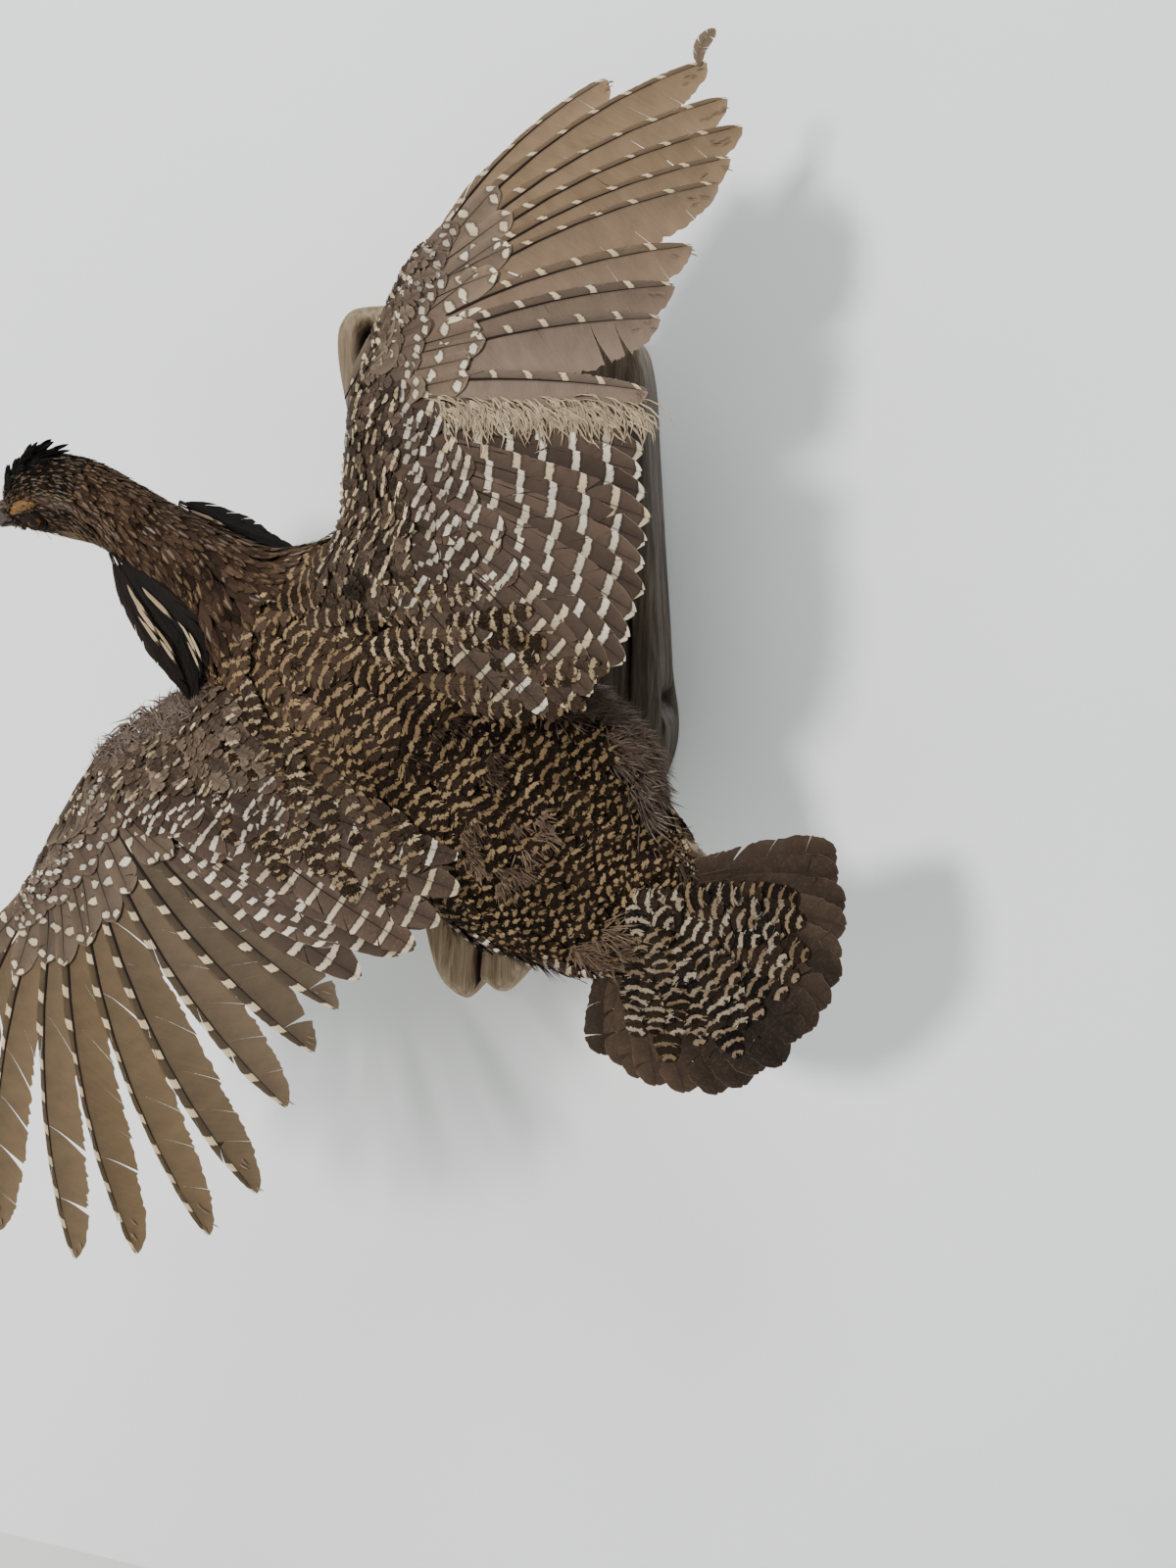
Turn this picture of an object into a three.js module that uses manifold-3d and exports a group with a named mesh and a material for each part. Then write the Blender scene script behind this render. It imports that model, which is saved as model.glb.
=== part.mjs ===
// A taxidermy greater prairie chicken in flight, on a driftwood slab that hangs on a wall.
// Millimetres, +Z up. The wall is the plane Y = 0 and the room is on the -Y side. The origin is on the
// flat back of the driftwood. The bird's back faces the room, its head is towards -X, and its right wing is up.

import * as THREE from 'three';
import { mergeVertices } from 'three/addons/utils/BufferGeometryUtils.js';
import Module from 'manifold-3d';

const wasm = await Module();
wasm.setup();

// ---------------------------------------------------------------- driving dimensions
const GAP = 0.3;                 // air between solids that touch
const CUT = 0.4;                 // width of the thin cuts that part the body

const BOARD_DEPTH = 38;          // wall to the front of the driftwood
const BOARD_EDGE_ROUND = 10;     // how far its worn front edges are rounded over
const ROD_RADIUS = 4;            // steel rod from the driftwood into the belly
const ROD_SOCKET = 14;           // how deep the rod sits in the wood and in the bird
const ROD_AT = { x: -18, z: -38 };

const EYE_RADIUS = 5;
const BILL_LENGTH = 17;
const VANE = 0.45;               // half the thickness of a feathered sheet at its tips
const ARM_FLESH = 6.5;           // half the thickness over the wing bones
const ARM_SPREAD = 13;           // how far from the bones that flesh thins out
const SHEET_EDGE = 40;           // longest triangle edge on a curved sheet
const RING_SIDES = 16;

// The trunk, neck and head are one loft. Each station: centre, half width, half height towards the
// back and towards the belly, and the roll that turns the back from -Y towards +Z, in degrees.
const BODY = [
  { at: [96, -121, -110], half: [15, 4, 5], roll: 8 },
  { at: [85, -120, -106], half: [32, 10, 13], roll: 8 },
  { at: [64, -118.5, -99], half: [47, 20, 24], roll: 8 },
  { at: [38, -117, -82], half: [60, 35, 36], roll: 8 },
  { at: [9, -116, -59], half: [61, 44, 46], roll: 8 },
  { at: [-23, -116, -35], half: [59, 48, 50], roll: 8 },
  { at: [-58, -118, -14], half: [60, 44, 49], roll: 10 },
  { at: [-85, -122, -2], half: [52, 34, 42], roll: 14 },
  { at: [-103, -128, 10], half: [34, 27, 31], roll: 22 },
  { at: [-118, -134, 24], half: [23, 21, 24], roll: 34 },
  { at: [-135, -140, 37], half: [18, 17.5, 20], roll: 44 },
  { at: [-151, -143.5, 48], half: [15.5, 16.5, 19], roll: 50 },
  { at: [-166, -145.5, 55], half: [15.5, 17, 20.5], roll: 54 },
  { at: [-181, -147, 57], half: [14.5, 17, 20], roll: 56 },
  { at: [-193, -148, 54], half: [11.5, 14, 15.5], roll: 56 },
  { at: [-201, -149, 51], half: [7, 8, 9], roll: 56 },
  { at: [-204, -149.3, 50], half: [4, 4.5, 5], roll: 56 },
];
const NECK_BASE_STATION = 8.2;   // the cuts between trunk, neck and head, as places along BODY
const HEAD_STATION = 11.7;

// The head's own axes, from the crown, the bill and the left cheek.
const HEAD = {
  centre: [-181, -147, 57],
  forward: [-0.942, -0.09, -0.324],
  up: [-0.17, -0.56, 0.81],
};

// A wing lies on a surface at a depth from the wall, d = quadratic of x and z in units of 100 mm:
// d = c0 + c1 x + c2 z + c3 x^2 + c4 x z + c5 z^2.
const WING_RIGHT = {
  depth: [160.2, 10.4, 1.4, -22.0, -1.9, -12.2],
  shoulder: [-52, 22], elbow: [3, 43], wrist: [-40, 96], handTip: [-19, 143],
  // primary tips from the innermost, P1, to the outermost, P10
  primaryTips: [[79, 99], [81, 127], [85, 140], [90, 156], [97, 182],
    [100, 193], [103, 207], [96, 219], [86, 235], [48, 226]],
  // secondary tips from the wrist towards the body, evenly shared out along these points
  secondaryTips: [[79, 76], [83, 58], [84, 38], [82, 18], [77, -3], [66, -14]],
  bow: 0.075,
  flesh: [[-20, -36], [-52, -16], [-66, 10], [-54, 30], [-45, 48], [-45, 78], [-42, 98], [-34, 118],
    [-21, 146], [-6, 128], [14, 84], [34, 60], [62, 24], [62, -10], [44, -38], [14, -52]],
  handCut: [[-80, 85], [-34, 88], [90, 88.5], [140, 88]],
  elbowCut: [[-90, 50], [-10, 44], [40, 12], [100, -28]],
};
const WING_LEFT = {
  depth: [126.3, -21.4, -45.1, -12.4, 6.5, -11.2],
  shoulder: [-99, -37], elbow: [-84, -82], wrist: [-152, -62], handTip: [-174, -108],
  primaryTips: [[-35, -150], [-44, -168], [-54, -192], [-67, -231], [-88, -252],
    [-121, -264], [-151, -271], [-191, -265], [-225, -247], [-246, -214]],
  secondaryTips: [[-26, -137], [-12, -128], [-2, -117], [9, -103], [6, -88]],
  bow: -0.045,
  flesh: [[-28, -46], [-66, -22], [-96, -14], [-114, -34], [-134, -44], [-152, -52], [-163, -68],
    [-178, -110], [-150, -116], [-128, -104], [-96, -104], [-60, -112], [-20, -104], [6, -92], [10, -66]],
  handCut: [[-160, -20], [-144, -70], [-31, -145], [20, -190]],
  elbowCut: [[-140, 20], [-104, -64], [-52, -92], [40, -112]],
};
// Vane widths each side of the quill. The outer primaries are cut in on their leading side beyond a notch.
const PRIMARY_WIDTHS = { lead: 7, notched: 3, trail: 17 };
const SECONDARY_WIDTH = 6;       // the outermost secondary's vane ahead of its quill
const NOTCH_AT = 0.42;           // share of a primary's length
const QUILL_STATIONS = [0, 0.18, 0.42, 0.66, 0.84, 0.95];   // where a primary's outline has its points
const TIP_NOTCH = 4;             // depth of the notch between two feather tips
const SECONDARY_COUNT = 12;

const TAIL = {
  hub: [80, -105],               // the centre of the fan
  rootRadius: 27,
  rootAngles: [58, -152], tipAngles: [11, -101],   // of the outermost feathers, from +X
  lengths: [84, 86, 87, 87, 89, 91, 91, 85, 72],   // hub to tip, from the right edge to the left one
  count: 18,
  depth: 121, rise: 0.06, droop: 0.0011,   // the fan rises to its rim and droops to its sides
  axisAngle: -38,
  rootFlesh: 9, fleshReach: 52,  // half thickness at the hub, and where it has thinned out
};

const COLOURS = {
  wood: 0x9a8a70, steel: 0x707070, plumage: 0x6b5844, darkPlumage: 0x2c231c, quill: 0x8a7458,
  bill: 0x6e5a48, eye: 0x2a1608, comb: 0xc98a28, foot: 0x9c8458,
};

// ---------------------------------------------------------------- small helpers
const clamp = (v, low, high) => Math.min(high, Math.max(low, v));
const lerp = (a, b, t) => a + (b - a) * t;
const mix = (a, b, t) => a.map((v, i) => lerp(v, b[i], t));
const smooth = (t) => { const c = clamp(t, 0, 1); return c * c * (3 - 2 * c); };
const vec = (p) => new THREE.Vector3(...p);
const radians = THREE.MathUtils.degToRad;

// The value of a list of points at a place along it, with straight runs between them.
function along(points, place) {
  const scaled = clamp(place, 0, 1) * (points.length - 1);
  const i = Math.min(Math.floor(scaled), points.length - 2);
  return mix(points[i], points[i + 1], scaled - i);
}

// Catmull-Rom through equally spaced rows of numbers.
function spline(rows, t) {
  const i = clamp(Math.floor(t), 0, rows.length - 2);
  const u = t - i;
  const row = (k) => rows[clamp(k, 0, rows.length - 1)];
  return rows[i].map((_, k) => {
    const [p0, p1, p2, p3] = [row(i - 1)[k], row(i)[k], row(i + 1)[k], row(i + 2)[k]];
    return 0.5 * (2 * p1 + (p2 - p0) * u + (2 * p0 - 5 * p1 + 4 * p2 - p3) * u * u
      + (3 * p1 - p0 - 3 * p2 + p3) * u * u * u);
  });
}

// A closed geometry from rings of points, fanned shut at both ends.
function loft(rings) {
  const sides = rings[0].length;
  const points = rings.flat();
  const faces = [];
  for (let r = 0; r < rings.length - 1; r++) {
    for (let k = 0; k < sides; k++) {
      const a = r * sides + k;
      const b = r * sides + ((k + 1) % sides);
      faces.push(a, b, b + sides, a, b + sides, a + sides);
    }
  }
  const ends = [[rings[0], 0, true], [rings.at(-1), (rings.length - 1) * sides, false]];
  for (const [ring, first, flip] of ends) {
    const middle = ring.reduce((sum, p) => sum.add(p), new THREE.Vector3()).divideScalar(sides);
    points.push(middle);
    for (let k = 0; k < sides; k++) {
      const [a, b] = [first + k, first + ((k + 1) % sides)];
      faces.push(...(flip ? [b, a, points.length - 1] : [a, b, points.length - 1]));
    }
  }
  const geometry = new THREE.BufferGeometry().setFromPoints(points);
  geometry.setIndex(faces);
  return geometry;
}

// A geometry as a manifold solid, turned right side out.
function solid(geometry) {
  let merged = geometry.clone();
  merged.deleteAttribute('normal');
  merged.deleteAttribute('uv');
  merged = mergeVertices(merged, 1e-4);
  const vertProperties = new Float32Array(merged.attributes.position.array);
  const triVerts = new Uint32Array(merged.index.array);
  const made = new wasm.Manifold(new wasm.Mesh({ numProp: 3, vertProperties, triVerts }));
  if (made.volume() > 0) return made;
  for (let i = 0; i < triVerts.length; i += 3) {
    [triVerts[i], triVerts[i + 1]] = [triVerts[i + 1], triVerts[i]];
  }
  return new wasm.Manifold(new wasm.Mesh({ numProp: 3, vertProperties, triVerts }));
}

function geometryOf(manifold) {
  const { vertProperties, triVerts } = manifold.getMesh();
  const geometry = new THREE.BufferGeometry();
  geometry.setAttribute('position', new THREE.BufferAttribute(new Float32Array(vertProperties), 3));
  geometry.setIndex(Array.from(triVerts));
  return geometry;
}

const joined = (solids) => solids.reduce((whole, next) => whole.add(next));
const without = (whole, cutters) => cutters.reduce((rest, cutter) => rest.subtract(cutter), whole);

// The largest body of a cut solid. The crumbs that a thin cut leaves are dropped.
function largest(manifold) {
  return manifold.decompose().reduce((best, one) => (one.volume() > best.volume() ? one : best));
}

const group = new THREE.Group();
function add(name, manifold, colour, roughness = 0.8, metalness = 0) {
  const material = new THREE.MeshStandardMaterial({ color: colour, roughness, metalness });
  const mesh = new THREE.Mesh(geometryOf(largest(manifold)), material);
  mesh.name = name;
  group.add(mesh);
  return mesh;
}

// Splits every edge longer than the limit at its middle until none is left, the same way on both sides.
function subdivided(geometry, limit) {
  const points = [];
  const at = geometry.attributes.position;
  for (let i = 0; i < at.count; i++) points.push([at.getX(i), at.getY(i), at.getZ(i)]);
  let faces = [];
  for (let i = 0; i < geometry.index.count; i += 3) {
    faces.push([0, 1, 2].map((k) => geometry.index.getX(i + k)));
  }
  const far = (a, b) => Math.hypot(points[a][0] - points[b][0], points[a][1] - points[b][1]);
  for (let pass = 0; pass < 8; pass++) {
    const middles = new Map();
    const middle = (a, b) => {
      if (far(a, b) <= limit) return -1;
      const key = a < b ? `${a},${b}` : `${b},${a}`;
      if (!middles.has(key)) {
        middles.set(key, points.length);
        points.push(mix(points[a], points[b], 0.5));
      }
      return middles.get(key);
    };
    const next = [];
    for (const [a, b, c] of faces) {
      const [ab, bc, ca] = [middle(a, b), middle(b, c), middle(c, a)];
      next.push(...splitFace([a, b, c], [ab, bc, ca]));
    }
    faces = next;
    if (middles.size === 0) break;
  }
  const made = new THREE.BufferGeometry();
  made.setAttribute('position', new THREE.Float32BufferAttribute(points.flat(), 3));
  made.setIndex(faces.flat());
  return made;
}

// One triangle cut at the middles of its long edges. A middle of -1 is an edge that stays whole.
function splitFace(corners, middles) {
  const cut = middles.filter((m) => m >= 0).length;
  if (cut === 0) return [corners];
  const turned = [0, 1, 2].map((k) => [[0, 1, 2].map((i) => corners[(i + k) % 3]),
    [0, 1, 2].map((i) => middles[(i + k) % 3])]);
  if (cut === 3) {
    const [[a, b, c], [ab, bc, ca]] = turned[0];
    return [[a, ab, ca], [ab, b, bc], [ca, bc, c], [ab, bc, ca]];
  }
  if (cut === 1) {
    const [[a, b, c], [ab]] = turned.find(([, m]) => m[0] >= 0);
    return [[a, ab, c], [ab, b, c]];
  }
  const [[a, b, c], [ab, bc]] = turned.find(([, m]) => m[2] < 0);
  return [[ab, b, bc], [a, ab, c], [ab, bc, c]];
}

// ---------------------------------------------------------------- body loft
function bodySection(place) {
  const rows = BODY.map((s) => [...s.at, ...s.half, s.roll]);
  const [x, y, z, width, back, belly, roll] = spline(rows, place);
  const before = spline(rows, Math.max(0, place - 0.05));
  const after = spline(rows, Math.min(BODY.length - 1, place + 0.05));
  const tangent = vec(after.slice(0, 3)).sub(vec(before.slice(0, 3))).normalize();
  const rolled = new THREE.Vector3(0, -Math.cos(radians(roll)), Math.sin(radians(roll)));
  const dorsal = rolled.addScaledVector(tangent, -rolled.dot(tangent)).normalize();
  const side = new THREE.Vector3().crossVectors(dorsal, tangent);
  return { centre: new THREE.Vector3(x, y, z), tangent, dorsal, side, width, back, belly };
}

function bodySolid(grow = 0) {
  const rings = [];
  const steps = 2 * (BODY.length - 1);
  for (let i = 0; i <= steps; i++) {
    const s = bodySection((i / steps) * (BODY.length - 1));
    rings.push(Array.from({ length: RING_SIDES }, (_, k) => {
      const angle = (2 * Math.PI * k) / RING_SIDES;
      const height = (Math.sin(angle) > 0 ? s.back : s.belly) + grow;
      return s.centre.clone()
        .addScaledVector(s.side, (s.width + grow) * Math.cos(angle))
        .addScaledVector(s.dorsal, height * Math.sin(angle));
    }));
  }
  return solid(loft(rings));
}

// A big block whose face crosses the body at a station, on the head's side of it.
function headwardBlock(place, back = 0) {
  const size = 400;
  const s = bodySection(place);
  const block = new THREE.BoxGeometry(size, size, size);
  block.translate(0, 0, size / 2 + back);
  const turn = new THREE.Matrix4().makeBasis(s.side.clone().negate(), s.dorsal, s.tangent);
  block.applyMatrix4(turn.setPosition(s.centre));
  return solid(block);
}

// ---------------------------------------------------------------- feather outlines and curved sheets
// The outline of one primary on the flat: a bowed quill from root to tip with a vane each side of it.
function primaryOutline(root, tip, bow, widths) {
  const length = Math.hypot(tip[0] - root[0], tip[1] - root[1]);
  const ahead = [(tip[0] - root[0]) / length, (tip[1] - root[1]) / length];
  const left = [-ahead[1], ahead[0]];
  const quill = (s) => {
    const side = bow * length * 4 * s * (1 - s);
    return [0, 1].map((k) => root[k] + ahead[k] * s * length + left[k] * side);
  };
  const leadSide = Math.sign(bow) || 1;
  const edge = (s, inner, outer = inner) => {
    const open = lerp(0.35, 1, smooth(s / 0.3));
    const end = Math.sqrt(1 - clamp((s - 0.8) / 0.2, 0, 1) ** 2);
    return lerp(inner, outer, smooth((s - NOTCH_AT) / 0.1)) * open * end;
  };
  const shape = [];
  for (const s of QUILL_STATIONS) {
    const [x, y] = quill(s);
    const w = leadSide * edge(s, widths.lead, widths.leadTip);
    shape.push([x + left[0] * w, y + left[1] * w]);
  }
  shape.push(tip);
  for (const s of QUILL_STATIONS.toReversed()) {
    const [x, y] = quill(s);
    const w = -leadSide * edge(s, widths.trail);
    shape.push([x + left[0] * w, y + left[1] * w]);
  }
  return shape;
}

// A flat plate from w = -1 to w = 1 over an outline.
function plate(outline) {
  const shape = new THREE.Shape(outline.map(([x, y]) => new THREE.Vector2(x, y)));
  const geometry = new THREE.ExtrudeGeometry(shape, { depth: 2, bevelEnabled: false });
  geometry.translate(0, 0, -1);
  return solid(geometry);
}

// Bends a flat plate onto a sheet at depth(x, z) from the wall, thickness(x, z) to each side of it.
function bent(flat, depth, thickness) {
  const geometry = subdivided(geometryOf(flat), SHEET_EDGE);
  const at = geometry.attributes.position;
  for (let i = 0; i < at.count; i++) {
    const [x, z, w] = [at.getX(i), at.getY(i), at.getZ(i)];
    at.setXYZ(i, x, -depth(x, z) - w * thickness(x, z), z);
  }
  return solid(geometry);
}

function distanceToPath(x, z, path) {
  let nearest = Infinity;
  for (let i = 0; i < path.length - 1; i++) {
    const [[ax, az], [bx, bz]] = [path[i], path[i + 1]];
    const [dx, dz] = [bx - ax, bz - az];
    const t = clamp(((x - ax) * dx + (z - az) * dz) / (dx * dx + dz * dz), 0, 1);
    nearest = Math.min(nearest, Math.hypot(x - ax - dx * t, z - az - dz * t));
  }
  return nearest;
}

// ---------------------------------------------------------------- wings
function wingDepth(wing) {
  const [c0, c1, c2, c3, c4, c5] = wing.depth;
  return (x, z) => {
    const [a, b] = [x / 100, z / 100];
    return c0 + c1 * a + c2 * b + c3 * a * a + c4 * a * b + c5 * b * b;
  };
}

function wingThickness(wing) {
  const bones = [wing.shoulder, wing.elbow, wing.wrist, wing.handTip];
  return (x, z) => VANE + ARM_FLESH * Math.exp(-((distanceToPath(x, z, bones) / ARM_SPREAD) ** 2));
}

function primaryPlates(wing) {
  return wing.primaryTips.map((tip, i) => {
    const root = mix(wing.wrist, wing.handTip, 0.08 + 0.92 * (i / 9));
    const outer = smooth((i - 2) / 4);
    const { lead, notched, trail } = PRIMARY_WIDTHS;
    const widths = { lead, leadTip: lerp(lead, notched, outer), trail };
    return plate(primaryOutline(root, tip, wing.bow * lerp(0.4, 1, i / 9), widths));
  });
}

// The edge that overlapping feather tips make: each feather has a blunt end, with a notch between two.
function tipEdge(roots, tips) {
  return tips.flatMap((tip, i) => {
    const [root, next] = [roots[i], tips[i + 1] ?? tip];
    const length = Math.hypot(tip[0] - root[0], tip[1] - root[1]);
    const back = [(root[0] - tip[0]) / length, (root[1] - tip[1]) / length];
    const before = tips[i - 1] ?? tip;
    const aside = [(next[0] - before[0]) / 2, (next[1] - before[1]) / 2];
    const at = (side, set) => [0, 1].map((k) => tip[k] + aside[k] * side + back[k] * set);
    const notch = i < tips.length - 1 ? [at(0.5, TIP_NOTCH)] : [];
    return [at(-0.25, 1), at(0.2, 0), ...notch];
  });
}

function secondaryPlate(wing) {
  const places = Array.from({ length: SECONDARY_COUNT }, (_, i) => i / (SECONDARY_COUNT - 1));
  const roots = places.map((place) => mix(wing.wrist, wing.elbow, 0.06 + 0.9 * place));
  const tips = places.map((place) => along(wing.secondaryTips, place));
  const width = SECONDARY_WIDTH * Math.sign(wing.bow);
  const outer = mix(roots[0], tips[0], 0.75);
  return plate([roots[0], [outer[0], outer[1] + width], ...tipEdge(roots, tips), roots.at(-1)]);
}

// Three pieces of the wing's flat plate, parted at the wrist and the elbow.
function wingPieces(wing) {
  const flat = joined([plate(wing.flesh), ...primaryPlates(wing), secondaryPlate(wing)]);
  const [depth, thickness] = [wingDepth(wing), wingThickness(wing)];
  const hand = beyond(wing.handCut, wing.handTip);
  const arm = beyond(wing.elbowCut, wing.shoulder);
  const handCutter = hand(CUT / 2);
  const armCutter = arm(CUT / 2);
  return {
    hand: bent(largest(flat.intersect(hand(-CUT / 2))), depth, thickness),
    forearm: bent(largest(without(flat, [handCutter, armCutter])), depth, thickness),
    arm: bent(largest(flat.intersect(arm(-CUT / 2)).subtract(handCutter)), depth, thickness),
  };
}

// The flat region on one side of a cut line, the side that holds a given point, moved out by grow.
function beyond(line, inside) {
  const far = 500;
  const [a, b] = [line[0], line.at(-1)];
  const length = Math.hypot(b[0] - a[0], b[1] - a[1]);
  const normal = [-(b[1] - a[1]) / length, (b[0] - a[0]) / length];
  const side = Math.sign((inside[0] - line[1][0]) * normal[0] + (inside[1] - line[1][1]) * normal[1]);
  return (grow) => {
    const moved = line.map(([x, y]) => [x - side * normal[0] * grow, y - side * normal[1] * grow]);
    const rim = moved.map(([x, y]) => [x + side * normal[0] * far, y + side * normal[1] * far]);
    return plate([...moved, ...rim.toReversed()]);
  };
}

// ---------------------------------------------------------------- tail
// A point of the fan given by its distance from the hub and its angle from +X in degrees.
function fromHub(reach, angle) {
  return [TAIL.hub[0] + reach * Math.cos(radians(angle)), TAIL.hub[1] + reach * Math.sin(radians(angle))];
}

function tailSolid() {
  const places = Array.from({ length: TAIL.count }, (_, i) => i / (TAIL.count - 1));
  const roots = places.map((place) => fromHub(TAIL.rootRadius, lerp(...TAIL.rootAngles, place)));
  const reach = (place) => along(TAIL.lengths.map((v) => [v]), place)[0];
  const tips = places.map((place) => fromHub(reach(place), lerp(...TAIL.tipAngles, place)));
  const flank = (end, share, turn) => fromHub(share * TAIL.lengths.at(end), TAIL.tipAngles.at(end) + turn);
  const rightFlank = [flank(0, 0.36, 50), flank(0, 0.56, 26), flank(0, 0.86, 11)];
  const leftFlank = [flank(-1, 0.9, -10), flank(-1, 0.55, -24)];
  const hub = Array.from({ length: 8 }, (_, k) => fromHub(TAIL.rootRadius + 3, -165 - 24 * k));
  const fan = plate([...rightFlank, ...tipEdge(roots, tips), ...leftFlank, ...hub]);
  const axis = [Math.cos(radians(TAIL.axisAngle)), Math.sin(radians(TAIL.axisAngle))];
  const depth = (x, z) => {
    const [dx, dz] = [x - TAIL.hub[0], z - TAIL.hub[1]];
    const ahead = dx * axis[0] + dz * axis[1];
    const aside = -dx * axis[1] + dz * axis[0];
    return TAIL.depth + TAIL.rise * ahead - TAIL.droop * aside * aside;
  };
  const thickness = (x, z) => {
    const reach = Math.hypot(x - TAIL.hub[0], z - TAIL.hub[1]) / TAIL.fleshReach;
    return VANE + TAIL.rootFlesh * Math.exp(-reach * reach * 2);
  };
  return bent(fan, depth, thickness);
}

// ---------------------------------------------------------------- head details
const headForward = vec(HEAD.forward).normalize();
const headUp = vec(HEAD.up).addScaledVector(headForward, -vec(HEAD.up).dot(headForward)).normalize();
const headLeft = new THREE.Vector3().crossVectors(headUp, headForward);

// A point given from the head's centre as millimetres forward, left and up.
function onHead(forward, left, up) {
  return vec(HEAD.centre).addScaledVector(headForward, forward)
    .addScaledVector(headLeft, left).addScaledVector(headUp, up);
}

function ball(centre, radius, scale = [1, 1, 1], wide = 12, high = 8) {
  const geometry = new THREE.SphereGeometry(radius, wide, high);
  const turn = new THREE.Matrix4().makeBasis(headForward, headLeft, headUp);
  geometry.scale(...scale);
  geometry.applyMatrix4(turn.setPosition(centre));
  return solid(geometry);
}

// A tapered tube through centres with a radius each, flattened towards the up direction.
function tube(points, radii, { sides = 10, steps = 2, flat = 1, up = headUp } = {}) {
  const curve = new THREE.CatmullRomCurve3(points);
  const count = steps * (points.length - 1);
  const rings = Array.from({ length: count + 1 }, (_, i) => {
    const t = i / count;
    const [radius] = along(radii.map((r) => [r]), t);
    const centre = curve.getPoint(t);
    const tangent = curve.getTangent(t);
    const high = up.clone().addScaledVector(tangent, -up.dot(tangent)).normalize();
    const side = new THREE.Vector3().crossVectors(high, tangent);
    return Array.from({ length: sides }, (_, k) => {
      const angle = (2 * Math.PI * k) / sides;
      return centre.clone().addScaledVector(side, radius * Math.cos(angle))
        .addScaledVector(high, radius * flat * Math.sin(angle));
    });
  });
  return solid(loft(rings));
}

const EYE_AT = { forward: 10, side: 8, up: -4 };
const eyeCentre = (sign) => onHead(EYE_AT.forward, sign * EYE_AT.side, EYE_AT.up);
const BILL_ROOT = 20;            // from the head's centre, forward
const bill = {
  upper: tube([onHead(BILL_ROOT - 3, 0, 0), onHead(BILL_ROOT + 5, 0, 0.6), onHead(BILL_ROOT + 12, 0, -0.9),
    onHead(BILL_ROOT + BILL_LENGTH, 0, -5.2)], [5, 4.5, 3, 0.7], { flat: 0.95 }),
  lower: tube([onHead(BILL_ROOT - 3, 0, -4.5), onHead(BILL_ROOT + 5, 0, -4.6), onHead(BILL_ROOT + 12, 0, -5.2)],
    [3.9, 3.2, 0.9], { flat: 0.7 }),
};
const billGrown = tube([onHead(BILL_ROOT - 4, 0, 0.1), onHead(BILL_ROOT + 5, 0, 0.6),
  onHead(BILL_ROOT + 12, 0, -0.9), onHead(BILL_ROOT + BILL_LENGTH + 1, 0, -5.4)],
[5 + GAP, 4.5 + GAP, 3 + GAP, 1.1], { flat: 0.95 });

// The raised black feathers of the crown, as a low fin.
const crest = tube([onHead(20, 0, 3), onHead(15, 0, 13), onHead(4, 0, 19), onHead(-8, 0, 21)],
  [3, 7, 6.5, 1.5], { flat: 0.42 });

// A long tuft of neck feathers: a flattened spindle from the side of the neck over the shoulder.
function pinna({ path, halfWidths }, grow = 0) {
  const radii = halfWidths.map((half) => half + grow / PINNA_FLATNESS);
  return tube(path.map(vec), radii, { flat: PINNA_FLATNESS, up: new THREE.Vector3(0.3, -1, 0.2) });
}
const PINNA_FLATNESS = 0.36;
const PINNA_LEFT = {
  path: [[-150, -152, 33], [-138, -157, 13], [-126, -157, -4], [-118, -154, -20], [-113, -150, -35]],
  halfWidths: [3, 8, 11, 9, 1.5],
};
const PINNA_RIGHT = {
  path: [[-134, -127, 54], [-120, -122, 51], [-105, -120, 46], [-90, -120, 40], [-76, -121, 34]],
  halfWidths: [2, 6, 8, 7, 1.5],
};

// ---------------------------------------------------------------- legs, tucked under the vent
function legPieces(sign) {
  // lateral offset across the body, which lies along the line from tail to neck
  const across = vec([0.541, 0, 0.841]).multiplyScalar(sign * 15);
  const at = (x, y, z) => vec([x, y, z]).add(across);
  const down = new THREE.Vector3(0, 1, 0);
  const shank = tube([at(18, -90, -62), at(48, -82, -80), at(80, -88, -99)], [12, 9, 3.8], { up: down });
  const ankle = [92, -93, -107];
  const toes = [-1, 0, 1].map((k) => {
    const spread = vec([0.541, 0, 0.841]).multiplyScalar(k * 6);
    const path = [at(...ankle), at(106, -99, -116).add(spread), at(118, -99, -123).add(spread),
      at(128, -93, -129).add(spread)];
    return tube(path, [2.8, 2.3, 1.9, 0.6], { up: down, sides: 6, steps: 1 });
  });
  const hallux = tube([at(...ankle), at(94, -86, -110), at(99, -81, -113)], [2.2, 1.7, 0.6],
    { up: down, sides: 6, steps: 1 });
  const instep = tube([at(81, -88.4, -99.6), at(87, -91, -103.6), at(95, -95, -109)], [3.3, 3, 2.7],
    { up: down, sides: 8 });
  return { shank, foot: joined([instep, hallux, ...toes]) };
}

// ---------------------------------------------------------------- driftwood slab and rod
// The slab's outline, counter-clockwise from the right edge, and the point that its edges round over to.
const BOARD_MIDDLE = [-15, -15];
const BOARD_OUTLINE = [
  [69, -62], [66, -15], [61, 35], [56, 85], [52, 122], [44, 140], [20, 147], [-35, 152], [-84, 154],
  [-99, 149], [-102, 132], [-94, 88], [-84, 20], [-75, -50], [-64, -112], [-54, -160], [-46, -184],
  [-32, -194], [-20, -188], [-8, -187], [8, -167], [38, -124],
];
const BOARD_OUTLINE_STEPS = 2 * BOARD_OUTLINE.length;

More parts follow.
